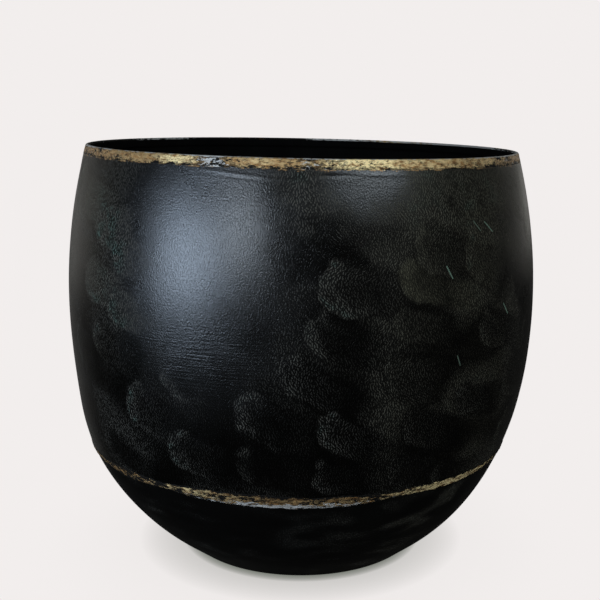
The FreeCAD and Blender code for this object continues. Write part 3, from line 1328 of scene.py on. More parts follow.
@dataclass(frozen=True)
class GroundIron:
    """Weld metal ground flush, with grinding marks under the black."""

    effects: Effects
    name: str = "ground_iron"
    iron: Colour = (0.030, 0.030, 0.031)
    bright: Colour = (0.085, 0.083, 0.080)

    def make(self) -> Material:
        """Build the material.

        Returns:
            The material.
        """
        finish = Finish(self.name)
        bench = finish.bench
        place = bench.use(self.effects.sheet_place).outputs["Place"]
        lines = bench.noise(bench.stretched(place, (0.12, 2.2, 1.0)), 1.0, 4.0, 0.65)
        rubbed = bench.use(self.effects.flakes, Place=place, Size=4.0, Worn=0.38).outputs["Patch"]
        share = bench.times(bench.step(lines, 0.45, 0.7), rubbed)
        finish.set(Base_Color=bench.tint(share, self.iron, self.bright), Metallic=1.0,
                   Roughness=bench.between(lines, 0.32, 0.55), Normal=bench.bump(lines, 0.3, 0.2 * MM))
        return finish.material


@dataclass(frozen=True)
class PressedFelt:
    """Dark pressed felt with a matted nap."""

    effects: Effects
    name: str = "pressed_felt"
    deep: Colour = (0.030, 0.030, 0.031)
    lint: Colour = (0.085, 0.084, 0.082)

    def make(self) -> Material:
        """Build the material.

        Returns:
            The material.
        """
        finish = Finish(self.name)
        bench = finish.bench
        place = bench.object_place()
        clouds = bench.use(self.effects.clouds, Place=place, Size=8.0).outputs
        fibre = bench.noise(place, 2.6, 4.0, 0.7)
        share = bench.times(bench.step(fibre, 0.4, 0.75), clouds["Tone"])
        finish.set(Base_Color=bench.tint(share, self.deep, self.lint), Roughness=0.95, Sheen_Weight=0.35,
                   Specular_IOR_Level=0.1, Normal=bench.bump(fibre, 0.6, 0.4 * MM))
        return finish.material


@dataclass(kw_only=True)
class Piece:
    """One sub-assembly of the pot: what it stands for and what it is dressed with."""

    section: PotSection
    name: str = ""
    node: str = ""
    slot: Slot = Slot.IRON

    def seat(self, piece: Object) -> Object:
        """Fix a built piece to the pot in place of its solid, and report it.

        Args:
            piece: The built object.

        Returns:
            The same object.
        """
        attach(piece, BODY)
        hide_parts(self.node)
        LOG.info("%s stands for %s with %d faces", self.name, self.node, len(piece.data.polygons))
        return piece


@dataclass(kw_only=True)
class HammeredBarrel(Piece):
    """Rolled wall, hammered all over, open at the back by the width of its closing weld.

    A crease is its middle and spread in degrees, its depth below the hoop there in millimetres, the
    millimetres that it drops with each degree, and its height in millimetres.
    """

    name: str = "hammered_barrel"
    node: str = "barrel_wall"
    seam: SeamLine
    marks: HammerMarks = HammerMarks()
    dabs: SpongeDabs
    rubbed: RubbedSheenPatches
    columns: int = 720
    fine_rows: int = 30
    fine_share: float = 0.055
    main_rows: int = 90
    foot_rows: int = 6
    foot_share: float = 0.975
    inner_rows: int = 12
    edge_calm: float = 14.0 * MM
    crease_width: float = 0.95 * MM
    creases: tuple[tuple[float, float, float, float, float], ...] = (
        (-13.5, 5.5, 4.6, 0.30, 0.12), (-12.0, 5.5, 7.4, 0.26, -0.08), (3.5, 5.5, 4.4, -0.10, -0.34),
        (17.0, 5.5, 3.4, 0.06, 0.16),
    )
    brushed_turn: float = math.radians(-20.0)
    brushed_spread: float = math.radians(16.0)
    brushed_run: float = 14.0 * MM
    brushed_tall: float = 17.0 * MM

    def out(self, turn: Array, run: Array, top: Array, foot: Array) -> Array:
        """How far the hammered face stands out from the true one.

        Args:
            turn: Turns of the points.
            run: Runs of the points.
            top: Runs of the upper edge at those turns.
            foot: Runs of the lower edge at those turns.

        Returns:
            Distances, dying away at both edges.
        """
        calm = soft_step(0.0, self.edge_calm, run - top) * soft_step(0.0, self.edge_calm, foot - run)
        out = self.marks.out(self.section.place(turn, run, 0.0)) * calm
        for degrees, spread, depth, drop, height in self.creases:
            past = np.degrees(turn) - degrees
            level = (depth + drop * past) * MM
            across = bump_at(level, self.crease_width, run - top)
            out = out + height * MM * bump_at(0.0, spread, past) * across
        return out

    def make(self, finishes: list[Material]) -> Object:
        """Build the wall.

        Args:
            finishes: Outside and inside material.

        Returns:
            The seated piece.
        """
        slit = WELD_WIDTH / 2 / self.section.widest_radius
        turn = np.linspace(-math.pi + slit, math.pi - slit, self.columns)
        foot = self.seam.run(turn) - SEAM_GAP / 2
        shares = np.concatenate([
            np.linspace(0.0, self.fine_share, self.fine_rows, endpoint=False),
            np.linspace(self.fine_share, self.foot_share, self.main_rows, endpoint=False),
            np.linspace(self.foot_share, 1.0, self.foot_rows),
        ])[:, None]
        top = self.section.hoop_foot(turn)
        run = top + shares * (foot - top)
        turns = np.broadcast_to(turn, run.shape)
        outer = self.section.place(turns, run, self.out(turns, run, top, foot))
        inner_top = self.section.hoop_foot(turn, -SHEET)
        inner_shares = np.linspace(1.0, 0.0, self.inner_rows)[:, None]
        inner_run = inner_top + inner_shares * (foot - inner_top)
        inner_turns = np.broadcast_to(turn, inner_run.shape)
        inner_out = self.out(inner_turns, inner_run, top, foot) - SHEET
        points = np.concatenate([outer, self.section.place(inner_turns, inner_run, inner_out)])
        all_turns = np.concatenate([turns, inner_turns])
        all_runs = np.concatenate([run, inner_run])
        values = self.dabs.spread(all_turns, all_runs)
        # Rubbed gloss, on the front put where the softboxes' highlights fall: partly painted sheen.
        values["polish_and_sheen"] = self.rubbed.spread(all_turns, all_runs)
        values["lean"] = values["lean"] * (1 - values["polish_and_sheen"])
        values["run"] = all_runs
        values["to_gilt"] = (all_runs - top) / MM
        values["brushed"] = bump_at(self.brushed_turn, self.brushed_spread, all_turns) * bump_at(
            self.brushed_run, self.brushed_tall, all_runs)
        strips = [Strip.OUTSIDE] * (len(run) - 1) + [Strip.INSIDE] * (len(inner_run) + 1)
        grid = LatheGrid(points, strips, ring=False, values=values)
        return self.seat(grid.build(self.name, finishes))


@dataclass(kw_only=True)
class ClosingWeld(Piece):
    """Upright weld at the back, ground flush outside and left rippled inside."""

    name: str = "ground_weld"
    node: str = "barrel_weld"
    seam: SeamLine
    barrel: HammeredBarrel
    columns: int = 9
    rows: int = 150
    proud: float = 0.6 * MM
    ripple: float = 2.4 * MM
    ripple_bow: float = 0.6 * MM
    end_gap: float = 2.5 * MM
    end_taper: float = 7.0 * MM

    def make(self, finishes: list[Material]) -> Object:
        """Build the weld.

        Args:
            finishes: Ground and inside material.

        Returns:
            The seated piece.
        """
        slit = WELD_WIDTH / 2 / self.section.widest_radius
        across = np.linspace(-1.0, 1.0, self.columns)
        turn = math.pi + slit * across
        top = self.section.hoop_foot(turn)
        foot = self.seam.run(turn) - SEAM_GAP / 2
        shares = np.linspace(0.0, 1.0, self.rows)[:, None]
        run = top + shares * (foot - top)
        turns = np.broadcast_to(turn, run.shape)
        flush = self.barrel.out(turns, run, top, foot)
        outer = self.section.place(turns, run, flush)
        inner_top = self.section.hoop_foot(turn, -SHEET)
        inner_run = inner_top + shares[::-1] * (foot - inner_top)
        ends = np.minimum(inner_run - inner_top, foot - inner_run)
        crown = (1 - across ** 2) * soft_step(self.end_gap, self.end_taper, ends)
        phase = (inner_run + self.ripple_bow * across ** 2) / self.ripple
        wave = 0.75 + 0.25 * np.cos(2 * math.pi * phase)
        inner_out = flush[::-1] - SHEET - self.proud * crown * wave
        points = np.concatenate([outer, self.section.place(turns, inner_run, inner_out)])
        strips = [Strip.OUTSIDE] * (self.rows - 1) + [Strip.INSIDE] * (self.rows + 1)
        values = {"run": np.concatenate([run, inner_run])}
        grid = LatheGrid(points, strips, ring=False, values=values, bands=1, inside_detail=1.0)
        return self.seat(grid.build(self.name, finishes))


@dataclass(kw_only=True)
class GiltRim(Piece):
    """Flat-bar hoop at the mouth, pitted and rubbed, gilt outside and black inside.

    Attributes:
        worn_marks: Where the gilt is worn.
        bright_and_highlight_marks: Where it was rubbed bright, with painted highlights on the front where
            the gilt mirrors the softboxes.
        usual_bright: Brightness elsewhere.
        lip_wear: Wear along the inner part of the top.
        lit_bare_lip: Middle and spread in degrees of the length where that part is bare metal instead, kept
            only where the lip catches the light, so partly a painted highlight.
        top_silver: Bare metal along the upper edge.
        worn_silver: Bare metal in the worn places, as a multiple of their wear.
    """

    name: str = "gilt_rim"
    node: str = "rim_ring"
    slot: Slot = Slot.GILT
    columns: int = 1100
    face_rows: int = 16
    inner_rows: int = 8
    round_rows: int = 5
    lip_strips: int = 6
    edge_round: float = 0.8 * MM
    pit_size: float = 3.4 * MM
    pit_height: float = 0.11 * MM
    lump_size: float = 16.0 * MM
    lump_height: float = 0.10 * MM
    inside_pits: float = 0.3
    top_pits: float = 0.8
    worn_marks: tuple[Mark, ...] = (
        (-21.0, 3.6, 0.15), (3.0, 4.5, 0.09), (-72.0, 12.0, 0.08), (58.0, 9.0, 0.07), (82.0, 8.0, 0.09),
        (118.0, 10.0, 0.2), (171.0, 9.0, 0.16), (-130.0, 11.0, 0.22), (-95.0, 6.0, 0.1),
    )
    bright_and_highlight_marks: tuple[Mark, ...] = (
        (13.0, 5.5, 1.60), (-28.5, 3.6, 0.75), (-10.0, 4.0, 0.30), (-45.0, 9.0, 0.12), (30.0, 6.0, 0.42),
        (48.0, 8.0, 0.40), (100.0, 6.0, 0.6), (-110.0, 6.0, 0.7), (150.0, 8.0, 0.4),
    )
    usual_bright: float = 0.12
    lip_wear: float = 0.3
    lit_bare_lip: tuple[float, float] = (135.0, 30.0)
    top_silver: float = 0.22
    worn_silver: float = 1.3

    def profile(self) -> tuple[Array, Array, list[Strip]]:
        """Section of the hoop, from the top's middle down the outside and back up the inside.

        Returns:
            Depths, insets and the strips between them.
        """
        quarter = np.linspace(0.0, math.pi / 2, self.round_rows)
        round_depth = self.edge_round * (1 - np.cos(quarter))
        round_inset = self.edge_round * (1 - np.sin(quarter))
        face = np.linspace(self.edge_round, HOOP_HEIGHT, self.face_rows)[1:]
        foot = np.linspace(0.0, HOOP_THICKNESS, 4)[1:-1]
        inner = np.linspace(HOOP_HEIGHT, self.edge_round, self.inner_rows)
        low = np.full_like(foot, HOOP_HEIGHT)
        back = np.full_like(inner, HOOP_THICKNESS)
        over = HOOP_THICKNESS - round_inset[::-1][1:]
        depth = np.concatenate([round_depth, face, low, inner, round_depth[::-1][1:]])
        inset = np.concatenate([round_inset, np.zeros_like(face), foot, back, over])
        outside = self.round_rows + self.face_rows - 2
        strips = [Strip.OUTSIDE] * outside + [Strip.INSIDE] * (len(depth) - outside - self.lip_strips)
        return depth, inset, strips + [Strip.OUTSIDE] * self.lip_strips

    def make(self, finishes: list[Material]) -> Object:
        """Build the hoop.

        Args:
            finishes: Gilt and inside material.

        Returns:
            The seated piece.
        """
        depth, inset, strips = self.profile()
        turn = full_circle(self.columns)
        turns, depths = np.meshgrid(turn, depth)
        insets = np.broadcast_to(inset[:, None], turns.shape)
        true = self.section.rim_place(turns, depths, insets)
        pits = self.pit_height * grain(true, self.pit_size, 1.7)
        pits = pits + self.lump_height * grain(true, self.lump_size, 4.9)
        outer = (insets < HOOP_THICKNESS / 2) & (depths < HOOP_HEIGHT - 0.1 * MM)
        outwards = np.where(insets < HOOP_THICKNESS / 2, 1.0, -1.0)
        insets = insets - np.where(outer, pits, self.inside_pits * pits) * outwards
        top = depths < self.edge_round / 2
        depths = depths + np.where(top, np.abs(pits) * self.top_pits, 0.0)
        degrees = np.degrees(turns)
        worn = marks_at(self.worn_marks, degrees)
        lip = soft_step(0.6 * HOOP_THICKNESS, 0.8 * HOOP_THICKNESS, insets)
        # Bare metal on the inner lip only where it catches the light: partly painted highlight.
        bare = bump_at(*self.lit_bare_lip, degrees)
        top_edge = 1 - soft_step(0.2 * MM, 0.9 * MM, depths)
        silver = self.top_silver * (top_edge + lip * (bare - top_edge))
        values = {
            "across": depths / HOOP_HEIGHT,
            "worn": worn + self.lip_wear * lip * (1 - bare),
            "bright": self.usual_bright + marks_at(self.bright_and_highlight_marks, degrees),
            "silver": silver + self.worn_silver * worn,
        }
        points = self.section.rim_place(turns, depths, insets)
        grid = LatheGrid(points, strips, values=values, bands=8)
        return self.seat(grid.build(self.name, finishes))


@dataclass(kw_only=True)
class RimFillet(Piece):
    """Lumpy filler in the corner under the hoop's inner ledge."""

    name: str = "rim_fillet"
    node: str = "rim_braze"
    columns: int = 720
    side_rows: int = 3
    face_rows: int = 7
    leg: float = 2.4 * MM
    lump: float = 0.22 * MM
    lump_size: float = 5.0 * MM
    clear: float = 0.04 * MM

    def make(self, finishes: list[Material]) -> Object:
        """Build the fillet.

        Args:
            finishes: The one material.

        Returns:
            The seated piece.
        """
        low = HOOP_HEIGHT + self.leg
        side = np.linspace(HOOP_HEIGHT + self.clear, low, self.side_rows)
        share = np.linspace(0.0, 1.0, self.face_rows)[1:]
        ledge = HOOP_THICKNESS - SHEET
        depth = np.concatenate([side, low - share * (self.leg - self.clear)])
        inset = np.concatenate([np.full_like(side, SHEET + self.clear), SHEET + self.clear + share * ledge])
        turn = full_circle(self.columns)
        turns, depths = np.meshgrid(turn, depth)
        insets = np.broadcast_to(inset[:, None], turns.shape).copy()
        true = self.section.rim_place(turns, depths, insets)
        swell = np.concatenate([np.zeros_like(side), np.sin(math.pi * share)])[:, None]
        insets = insets + self.lump * swell * (0.3 + grain(true, self.lump_size, 2.2))
        strips = [Strip.OUTSIDE] * len(depth)
        points = self.section.rim_place(turns, depths, insets)
        return self.seat(LatheGrid(points, strips, bands=10).build(self.name, finishes))


@dataclass(kw_only=True)
class GiltSeam(Piece):
    """Brazed filler between wall and bottom, with a rough stranded bead outside and a plain one inside.

    Attributes:
        widths: Half widths of the bead in millimetres at turns in degrees.
        spread_out: Width of the ragged bead as a multiple of that.
        slow_wander: How far that multiple wanders slowly, and in what length.
        quick_wander: The same for its quick wander.
        worn_marks: Where the gilt is worn, or better kept where the strength is negative.
        bright_and_highlight_marks: Where it was rubbed bright, with painted highlights on the front where
            the bead catches the lamps.
        usual_bright: Brightness elsewhere.
        bare_and_highlight_mark: Where the lower half is bare metal, also a painted highlight along the lower
            edge at the front.
    """

    name: str = "gilt_seam"
    node: str = "seam_braze"
    slot: Slot = Slot.GILT
    seam: SeamLine
    columns: int = 1260
    bead_rows: int = 22
    inner_rows: int = 9
    proud: float = 0.70 * MM
    inner_half_width: float = 2.0 * MM
    inner_proud: float = 0.6 * MM
    strand: float = 0.45 * MM
    strand_size: float = 0.85 * MM
    strand_stretch: tuple[float, float, float] = (0.16, 0.16, 1.0)
    lump_size: float = 7.0 * MM
    widths: tuple[tuple[float, float], ...] = (
        (-180.0, 2.7), (-130.0, 2.3), (-85.0, 2.0), (-62.0, 2.3), (-50.0, 3.2), (-38.0, 3.2), (-34.0, 2.0),
        (-28.0, 3.4), (-20.0, 4.2), (0.0, 4.3), (15.0, 3.9), (20.0, 2.2), (30.0, 2.9), (45.0, 2.5),
        (65.0, 2.0), (110.0, 2.5), (180.0, 2.7),
    )
    spread_out: float = 1.3
    slow_wander: tuple[float, float] = (0.22, 19.0 * MM)
    quick_wander: tuple[float, float] = (0.26, 5.0 * MM)
    worn_marks: tuple[Mark, ...] = (
        (-54.0, 12.0, 0.07), (-34.0, 3.5, 0.08), (-6.0, 13.0, 0.02), (20.0, 3.0, 0.06), (42.0, 11.0, -0.05),
        (70.0, 9.0, 0.1), (120.0, 14.0, 0.14), (-110.0, 12.0, 0.12), (170.0, 12.0, 0.1),
    )
    bright_and_highlight_marks: tuple[Mark, ...] = ((-26.0, 7.0, 0.55), (44.0, 15.0, 1.50))
    usual_bright: float = 0.14
    bare_and_highlight_mark: Mark = (-2.0, 17.0, 0.30)

    def make(self, finishes: list[Material]) -> Object:
        """Build the seam.

        Args:
            finishes: Gilt and inside material.

        Returns:
            The seated piece.
        """
        turn = full_circle(self.columns)
        centre = self.seam.run(turn)
        ring = self.section.place(turn, centre, 0.0)
        around, half_widths = zip(*self.widths)
        half_width = np.interp(np.degrees(turn), around, half_widths) * MM
        slow, slow_length = self.slow_wander
        quick, quick_length = self.quick_wander
        wander = slow * grain(ring, slow_length, 5.2) + quick * grain(ring, quick_length, 8.8)
        width = half_width * (self.spread_out + wander)
        across = np.linspace(-1.0, 1.0, self.bead_rows)[:, None]
        bead_run = centre + across * width
        flat = self.section.place(np.broadcast_to(turn, bead_run.shape), bead_run, 0.0)
        lines = flat * self.strand_stretch
        crown = np.sqrt(np.clip(1 - across ** 2, 0.0, 1.0))
        height = self.proud * crown * (0.62 + 0.5 * grain(flat, self.lump_size, 2.6))
        height = height + self.strand * crown * grain(lines, self.strand_size, 6.1)
        bead_out = np.maximum(height, 0.03 * MM * crown)
        half_gap = SEAM_GAP / 2
        inner = np.linspace(1.0, -1.0, self.inner_rows)[:, None]
        inner_run = centre + inner * self.inner_half_width
        inner_face = self.section.place(np.broadcast_to(turn, inner_run.shape), inner_run, -SHEET)
        lumpy = 0.85 + 0.3 * grain(inner_face, 6.0 * MM, 3.9)
        inner_out = -SHEET - self.inner_proud * (1 - inner ** 2) * lumpy
        below, above = centre + half_gap, centre - half_gap
        outer_level, inner_level = np.zeros_like(centre), np.full_like(centre, -SHEET)
        runs = np.concatenate([bead_run, [below, below], inner_run, [above, above]])
        outs = np.concatenate([bead_out, [outer_level, inner_level], inner_out, [inner_level, outer_level]])
        turns = np.broadcast_to(turn, runs.shape)
        points = self.section.place(turns, runs, outs)
        degrees = np.degrees(turns)
        reach = np.clip((runs - centre) / width, -1.0, 1.0)
        values = {
            "across": np.abs(reach),
            "worn": marks_at(self.worn_marks, degrees),
            "bright": self.usual_bright + marks_at(self.bright_and_highlight_marks, degrees),
            # Bare metal on the lower half at the front, also a painted highlight where the bead catches the
            # light.
            "silver": soft_step(-0.3, 0.6, reach) * marks_at((self.bare_and_highlight_mark,), degrees),
        }
        strips = [Strip.OUTSIDE] * (self.bead_rows - 1) + [Strip.INSIDE] * (len(runs) - self.bead_rows + 1)
        return self.seat(LatheGrid(points, strips, values=values, bands=9).build(self.name, finishes))


@dataclass(kw_only=True)
class RaisedBowl(Piece):
    """Bottom raised from one sheet, from the seam down to the flat that the pot stands on."""

    name: str = "raised_bowl"
    node: str = "base_bowl"
    seam: SeamLine
    marks: HammerMarks = HammerMarks(wide_height=0.45 * MM)
    dabs: SpongeDabs
    columns: int = 480
    round_rows: int = 44
    foot_rows: int = 12
    corner_rows: int = 6
    flat_rows: int = 12
    inner_rows: int = 44
    edge_calm: float = 12.0 * MM
    faintest: float = 0.26
    streaked: float = 0.80
    streak_stretch: tuple[float, float, float] = (0.4, 0.4, 1.3)
    polish_and_sheen: float = 0.4
    far_from_gilt: float = 9.0

    def make(self, finishes: list[Material]) -> Object:
        """Build the bottom.

        Args:
            finishes: Outside and inside material.

        Returns:
            The seated piece.
        """
        turn = full_circle(self.columns)
        edge = self.seam.run(turn) + SEAM_GAP / 2
        _, _, straight, corner, flat = self.section.stretches
        rows = [
            *(edge + np.linspace(0.0, 1.0, self.round_rows)[:-1, None] * (straight.start - edge)),
            *np.linspace(straight.start, corner.start, self.foot_rows)[:-1],
            *np.linspace(corner.start, flat.start, self.corner_rows)[:-1],
            *np.linspace(flat.start, self.section.centre_run, self.flat_rows),
        ]
        run = np.array([np.broadcast_to(row, turn.shape) for row in rows])
        inner_keep = np.linspace(len(run) - 1, 0, self.inner_rows).astype(int)
        inner_run = run[inner_keep]
        turns = np.broadcast_to(turn, run.shape)
        inner_turns = np.broadcast_to(turn, inner_run.shape)
        out = self.out(turns, run, edge, corner.start)
        inner_out = self.out(inner_turns, inner_run, edge, corner.start) - SHEET
        points = np.concatenate([self.section.place(turns, run, out),
                                 self.section.place(inner_turns, inner_run, inner_out)])
        all_runs = np.concatenate([run, inner_run])
        all_turns = np.concatenate([turns, inner_turns])
        values = self.dabs.spread(all_turns, all_runs)
        streaky = self.section.place(all_turns, all_runs, 0.0) * self.streak_stretch
        streaks = soft_step(-0.3, 0.5, grain(streaky, 11.0 * MM, 4.4))
        values["dab"] = values["dab"] * (self.faintest + self.streaked * streaks)
        values["polish_and_sheen"] = np.full_like(all_runs, self.polish_and_sheen)
        values["run"] = all_runs
        values["to_gilt"] = np.full_like(all_runs, self.far_from_gilt)
        values["brushed"] = np.zeros_like(all_runs)
        strips = [Strip.OUTSIDE] * len(run) + [Strip.INSIDE] * len(inner_run)
        grid = LatheGrid(points, strips, values=values)
        return self.seat(grid.build(self.name, finishes))

    def out(self, turn: Array, run: Array, edge: Array, foot: float) -> Array:
        """How far the raised face stands out from the true one, dying away at the edge and the flat."""
        calm = soft_step(0.0, self.edge_calm, run - edge) * (1 - soft_step(foot - self.edge_calm, foot, run))
        return self.marks.out(self.section.place(turn, run, 0.0)) * calm


@dataclass(kw_only=True)
class FeltDot(Piece):
    """Die-cut felt dot under the flat, a little swollen at its cut edge."""

    number: int = 1
    slot: Slot = Slot.FELT
    columns: int = 96
    disc_rows: int = 10
    side_rows: int = 7
    swell: float = 0.12 * MM
    nap: float = 0.006
    nap_count: float = 30.0

    def make(self, finishes: list[Material]) -> Object:
        """Build the dot.

        Args:
            finishes: The one material.

        Returns:
            The seated piece.
        """
        self.name = f"felt_dot_{self.number}"
        self.node = f"floor_pad_{self.number}"
        low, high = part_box(self.node)
        middle = (low + high) / 2
        radius = (high.x - low.x) / 2 - self.swell
        disc = np.linspace(0.0, 1.0, self.disc_rows)
        side = np.linspace(0.0, 1.0, self.side_rows)[1:-1]
        edge = radius + self.swell * np.sin(math.pi * side)
        reach = np.concatenate([disc * radius, edge, disc[::-1] * radius])
        height = np.concatenate([np.full_like(disc, high.z), high.z - side * (high.z - low.z),
                                 np.full_like(disc, low.z)])
        turn = full_circle(self.columns)
        ring = np.stack([np.sin(turn), np.cos(turn), 0 * turn], axis=-1) * self.nap_count
        rough = 1 + self.nap * grain(ring, 1.0)
        reach = reach[:, None] * np.minimum(rough, 1.0)
        points = np.stack([middle.x + reach * np.sin(turn), middle.y - reach * np.cos(turn),
                           np.broadcast_to(height[:, None], reach.shape)], axis=-1)
        strips = [Strip.OUTSIDE] * (len(points) - 1)
        grid = LatheGrid(points, strips, bands=1)
        return self.seat(grid.build(self.name, finishes))


@dataclass(frozen=True)
class Softbox:
    """Rectangular studio lamp that faces the pot.

    Attributes:
        name: Name of the lamp.
        turn: Degrees round from the front.
        reach: Distance from the pot's axis.
        height: Height of its middle above the floor.
        wide: Its width.
        tall: Its height.
        radiance: How bright its face is.
        colour: Tint of its light.
    """

    name: str
    turn: float
    reach: float
    height: float
    wide: float
    tall: float
    radiance: float
    colour: Colour

    def hang(self, aim: Vector) -> None:
        """Add the lamp to the scene.

        Args:
            aim: Point that it faces.
        """
        light = bpy.data.lights.new(self.name, "AREA")
        light.shape = "RECTANGLE"
        light.size = self.wide
        light.size_y = self.tall
        light.energy = self.radiance * math.pi * self.wide * self.tall
        light.color = self.colour
        lamp = bpy.data.objects.new(self.name, light)
        angle = math.radians(self.turn)
        lamp.location = (self.reach * math.sin(angle), -self.reach * math.cos(angle), self.height)
        lamp.rotation_euler = (aim - lamp.location).to_track_quat("-Z", "Y").to_euler()
        lamp.visible_camera = False
        bpy.context.scene.collection.objects.link(lamp)


@dataclass(frozen=True)
class Studio:
    """Pale floor, soft lamps, plain surroundings and the camera.

    Attributes:
        pale: Backdrop and floor as the camera sees them.
        backdrop_gloss: Backdrop behind the pot as its gloss shows it.
        backdrop_edge: Degrees from straight behind at which that ends, and up to which it is full.
        dim: Surroundings elsewhere.
        touch_bright: Brightness that the floor keeps where the pot touches it.
        shade_bright: Brightness that it keeps close to the pot, and clear of it.
        wide_bright: Brightness that it keeps in the wide soft shadow.
        card_light_turn: Degrees round from the front to the lighter part of the card.
        card_light_edge: Cosines of the turn from there at which that part ends, and from which it is full.
        off_centre: Pixels that the photograph's middle is off the camera's axis.
    """

    pale: Colour = (0.888, 0.855, 0.847)
    backdrop_gloss: Colour = (0.36, 0.35, 0.33)
    dim: Colour = (0.030, 0.0295, 0.027)
    floor_grey: Colour = (0.80, 0.78, 0.77)
    floor_size: float = 12.0
    shade: Colour = (0.04, 0.062, 0.03)
    touch_reach: float = 6.0 * MM
    shade_reach: float = 30.0 * MM
    wide_reach: float = 170.0 * MM
    card_radius: float = 5.0
    card_lift: float = 0.6 * MM
    card_grey: Colour = (0.050, 0.050, 0.047)
    card_light: Colour = (0.21, 0.205, 0.195)
    card_light_turn: float = -140.0
    card_light_edge: tuple[float, float] = (0.72, 0.95)
    card_corners: int = 96
    touch_bright: float = 0.25
    shade_bright: tuple[float, float] = (0.66, 1.03)
    wide_bright: float = 0.885
    backdrop_edge: tuple[float, float] = (34.0, 20.0)
    aim: tuple[float, float, float] = (0.0, 0.0, 0.25)
    camera_place: tuple[float, float, float] = (0.0, -0.900, 0.3908)
    camera_tilt: float = 11.05
    camera_lens: float = 62.17
    camera_sensor: float = 36.0
    photo_width: float = 600.0
    off_centre: float = 1.0
    lamps: tuple[Softbox, ...] = (
        Softbox("key_softbox", -49.2, 0.97, 0.342, 0.415, 0.298, 12.0, (0.68, 0.82, 1.0)),
        Softbox("second_softbox", -25.5, 0.97, 0.482, 0.159, 0.166, 21.0, (0.80, 0.90, 1.0)),
        Softbox("small_softbox", 33.9, 0.97, 0.869, 0.591, 0.325, 7.2, (0.86, 0.95, 1.0)),
        Softbox("left_panel", -120.0, 1.0, 0.35, 0.60, 0.50, 0.78, (1.0, 0.98, 0.91)),
        Softbox("right_panel", 130.0, 1.0, 0.385, 0.62, 0.45, 0.66, (1.0, 0.98, 0.89)),
    )

    @staticmethod
    def plain_bench(mesh: Mesh) -> NodeBench:
        """Give a mesh a new empty material with its own name.

        Args:
            mesh: The mesh.

        Returns:
            Bench of that material.
        """
        material = bpy.data.materials.new(mesh.name)
        material.use_nodes = True
        material.node_tree.nodes.clear()
        mesh.materials.append(material)
        return NodeBench(material.node_tree)

    @staticmethod
    def shown_rays(bench: NodeBench) -> Socket:
        """Rays that show the floor as the camera sees it.

        Args:
            bench: Bench of the material.

        Returns:
            Share 1 for rays from the camera, off gloss and through glass.
        """
        path = bench.add("ShaderNodeLightPath").outputs
        gloss = bench.math("MAXIMUM", path["Is Glossy Ray"], path["Is Transmission Ray"])
        return bench.math("MAXIMUM", path["Is Camera Ray"], gloss)

    @staticmethod
    def openness(bench: NodeBench, reach: float) -> Socket:
        """Share of the view upwards that nothing within a reach covers."""
        node = bench.add("ShaderNodeAmbientOcclusion", {"Distance": reach}, samples=OPENNESS_SAMPLES)
        return node.outputs["AO"]

    def lay_floor(self) -> None:
        """Floor that shows as pale as the background, with the pot's soft shadow on it."""
        mesh = bpy.data.meshes.new("pale_floor")
        half = self.floor_size / 2
        corners = [(-half, -half, 0.0), (half, -half, 0.0), (half, half, 0.0), (-half, half, 0.0)]
        mesh.from_pydata(corners, [], [(0, 1, 2, 3)])
        floor = bpy.data.objects.new("pale_floor", mesh)
        bpy.context.scene.collection.objects.link(floor)
        bench = self.plain_bench(mesh)
        touch = bench.between(self.openness(bench, self.touch_reach), self.touch_bright, 1.0)
        around = bench.between(self.openness(bench, self.shade_reach), *self.shade_bright)
        wide = bench.between(self.openness(bench, self.wide_reach), self.wide_bright, 1.0)
        share = bench.times(bench.times(touch, around), wide)
        shown = bench.add("ShaderNodeEmission", {"Color": bench.tint(share, self.shade, self.pale)})
        lit = bench.add("ShaderNodeBsdfDiffuse", {"Color": self.floor_grey})
        surfaces = {0: self.shown_rays(bench), 1: lit.outputs[0], 2: shown.outputs[0]}
        mix = bench.add("ShaderNodeMixShader", surfaces)
        bench.add("ShaderNodeOutputMaterial", {"Surface": mix.outputs[0]})

    def lay_card(self) -> None:
        """Grey card on the floor for the pot's gloss alone, lighter behind on the left."""
        mesh = bpy.data.meshes.new("grey_card")
        work = bmesh.new()
        bmesh.ops.create_circle(work, cap_ends=True, radius=self.card_radius, segments=self.card_corners)
        work.to_mesh(mesh)
        work.free()
        card = bpy.data.objects.new("grey_card", mesh)
        card.location.z = self.card_lift
        bpy.context.scene.collection.objects.link(card)
        card.visible_camera = False
        card.visible_diffuse = False
        card.visible_transmission = False
        card.visible_shadow = False
        bench = self.plain_bench(mesh)
        outwards = bench.vector("NORMALIZE", bench.add("ShaderNodeTexCoord").outputs["Object"])
        turn = math.radians(self.card_light_turn)
        towards = bench.dot(outwards, (math.sin(turn), -math.cos(turn), 0.0))
        share = bench.step(towards, *self.card_light_edge)
        colour = bench.tint(share, self.card_grey, self.card_light)
        shown = bench.add("ShaderNodeEmission", {"Color": colour})
        bench.add("ShaderNodeOutputMaterial", {"Surface": shown.outputs[0]})

    def surround(self) -> None:
        """Pale backdrop for the camera and behind the pot for its gloss, dim grey all round for the rest."""
        world = bpy.data.worlds.new("studio")
        bpy.context.scene.world = world
        world.use_nodes = True
        world.node_tree.nodes.clear()
        bench = NodeBench(world.node_tree)
        direction = bench.add("ShaderNodeTexCoord").outputs["Generated"]
        ahead = bench.dot(direction, (0.0, 1.0, 0.0))
        behind = bench.step(ahead, *(math.cos(math.radians(edge)) for edge in self.backdrop_edge))
        path = bench.add("ShaderNodeLightPath").outputs
        in_gloss = bench.times(path["Is Glossy Ray"], behind)
        gloss = bench.tint(in_gloss, self.dim, self.backdrop_gloss)
        seen = bench.math("MAXIMUM", path["Is Camera Ray"], path["Is Transmission Ray"])
        sky = bench.add("ShaderNodeBackground", {"Color": bench.tint(seen, gloss, self.pale)})
        bench.add("ShaderNodeOutputWorld", {"Surface": sky.outputs[0]})

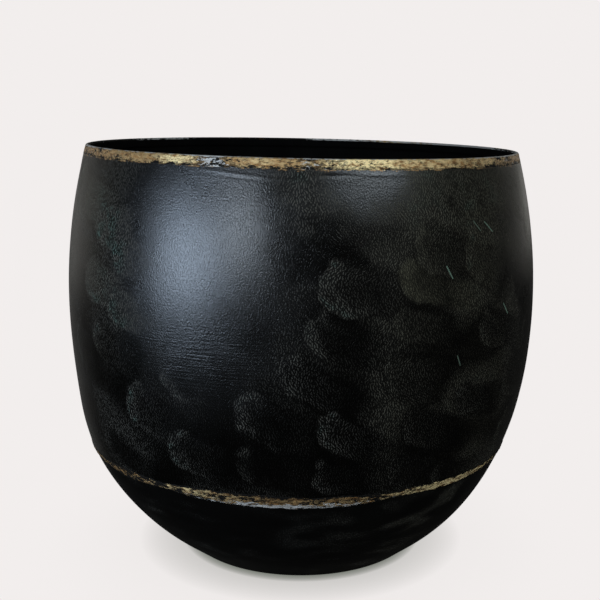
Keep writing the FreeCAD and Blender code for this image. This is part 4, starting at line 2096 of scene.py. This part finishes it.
    def set_camera(self) -> None:
        """Camera at the photograph's place and angle."""
        data = bpy.data.cameras.new("camera")
        data.lens = self.camera_lens
        data.sensor_width = self.camera_sensor
        data.shift_x = -self.off_centre / self.photo_width
        camera = bpy.data.objects.new("camera", data)
        camera.location = self.camera_place
        camera.rotation_euler = (math.radians(90.0 - self.camera_tilt), 0.0, 0.0)
        bpy.context.scene.collection.objects.link(camera)
        bpy.context.scene.camera = camera

    def make(self) -> None:
        """Set up the whole studio."""
        bpy.context.scene.view_settings.view_transform = "Standard"
        self.lay_floor()
        self.lay_card()
        self.surround()
        for lamp in self.lamps:
            lamp.hang(Vector(self.aim))
        self.set_camera()


def main() -> None:
    """Build the pot piece by piece, then the studio round it."""
    logging.basicConfig(level=logging.INFO, format="%(name)s: %(message)s")
    section = PotSection.from_frame()
    seam = SeamLine(section)
    effects = Effects(section)
    dabs = SpongeDabs(section)
    wall_iron = BlackenedIron(effects, section).make()
    bowl_iron = BlackenedIron(effects, section, name="blackened_bowl", iron=(0.036, 0.0365, 0.0375),
                              smooth=0.40, dull=0.48, scratches=()).make()
    soot = SootBlack(effects).make()
    rim_gilt = WornGilt(effects).make()
    seam_gilt = WornGilt(effects, name="seam_gilt", shadow=(0.110, 0.057, 0.022), gold=(0.40, 0.212, 0.074),
                         patch_size=3.4, wear=0.475, speck_wear=0.46, edge_wear=0.16,
                         grain=(0.42, 0.42, 1.4)).make()
    ground = GroundIron(effects).make()
    felt = PressedFelt(effects).make()
    barrel = HammeredBarrel(section=section, seam=seam, dabs=dabs, rubbed=RubbedSheenPatches(section))
    barrel.make([wall_iron, soot])
    ClosingWeld(section=section, seam=seam, barrel=barrel).make([ground, soot])
    GiltRim(section=section).make([rim_gilt, soot])
    RimFillet(section=section).make([soot])
    GiltSeam(section=section, seam=seam).make([seam_gilt, soot])
    RaisedBowl(section=section, seam=seam, dabs=dabs).make([bowl_iron, soot])
    pads = sorted(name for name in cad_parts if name.startswith("floor_pad_"))
    for number in range(1, len(pads) + 1):
        FeltDot(section=section, number=number).make([felt])
    Studio().make()


if __name__ == "__main__":
    main()
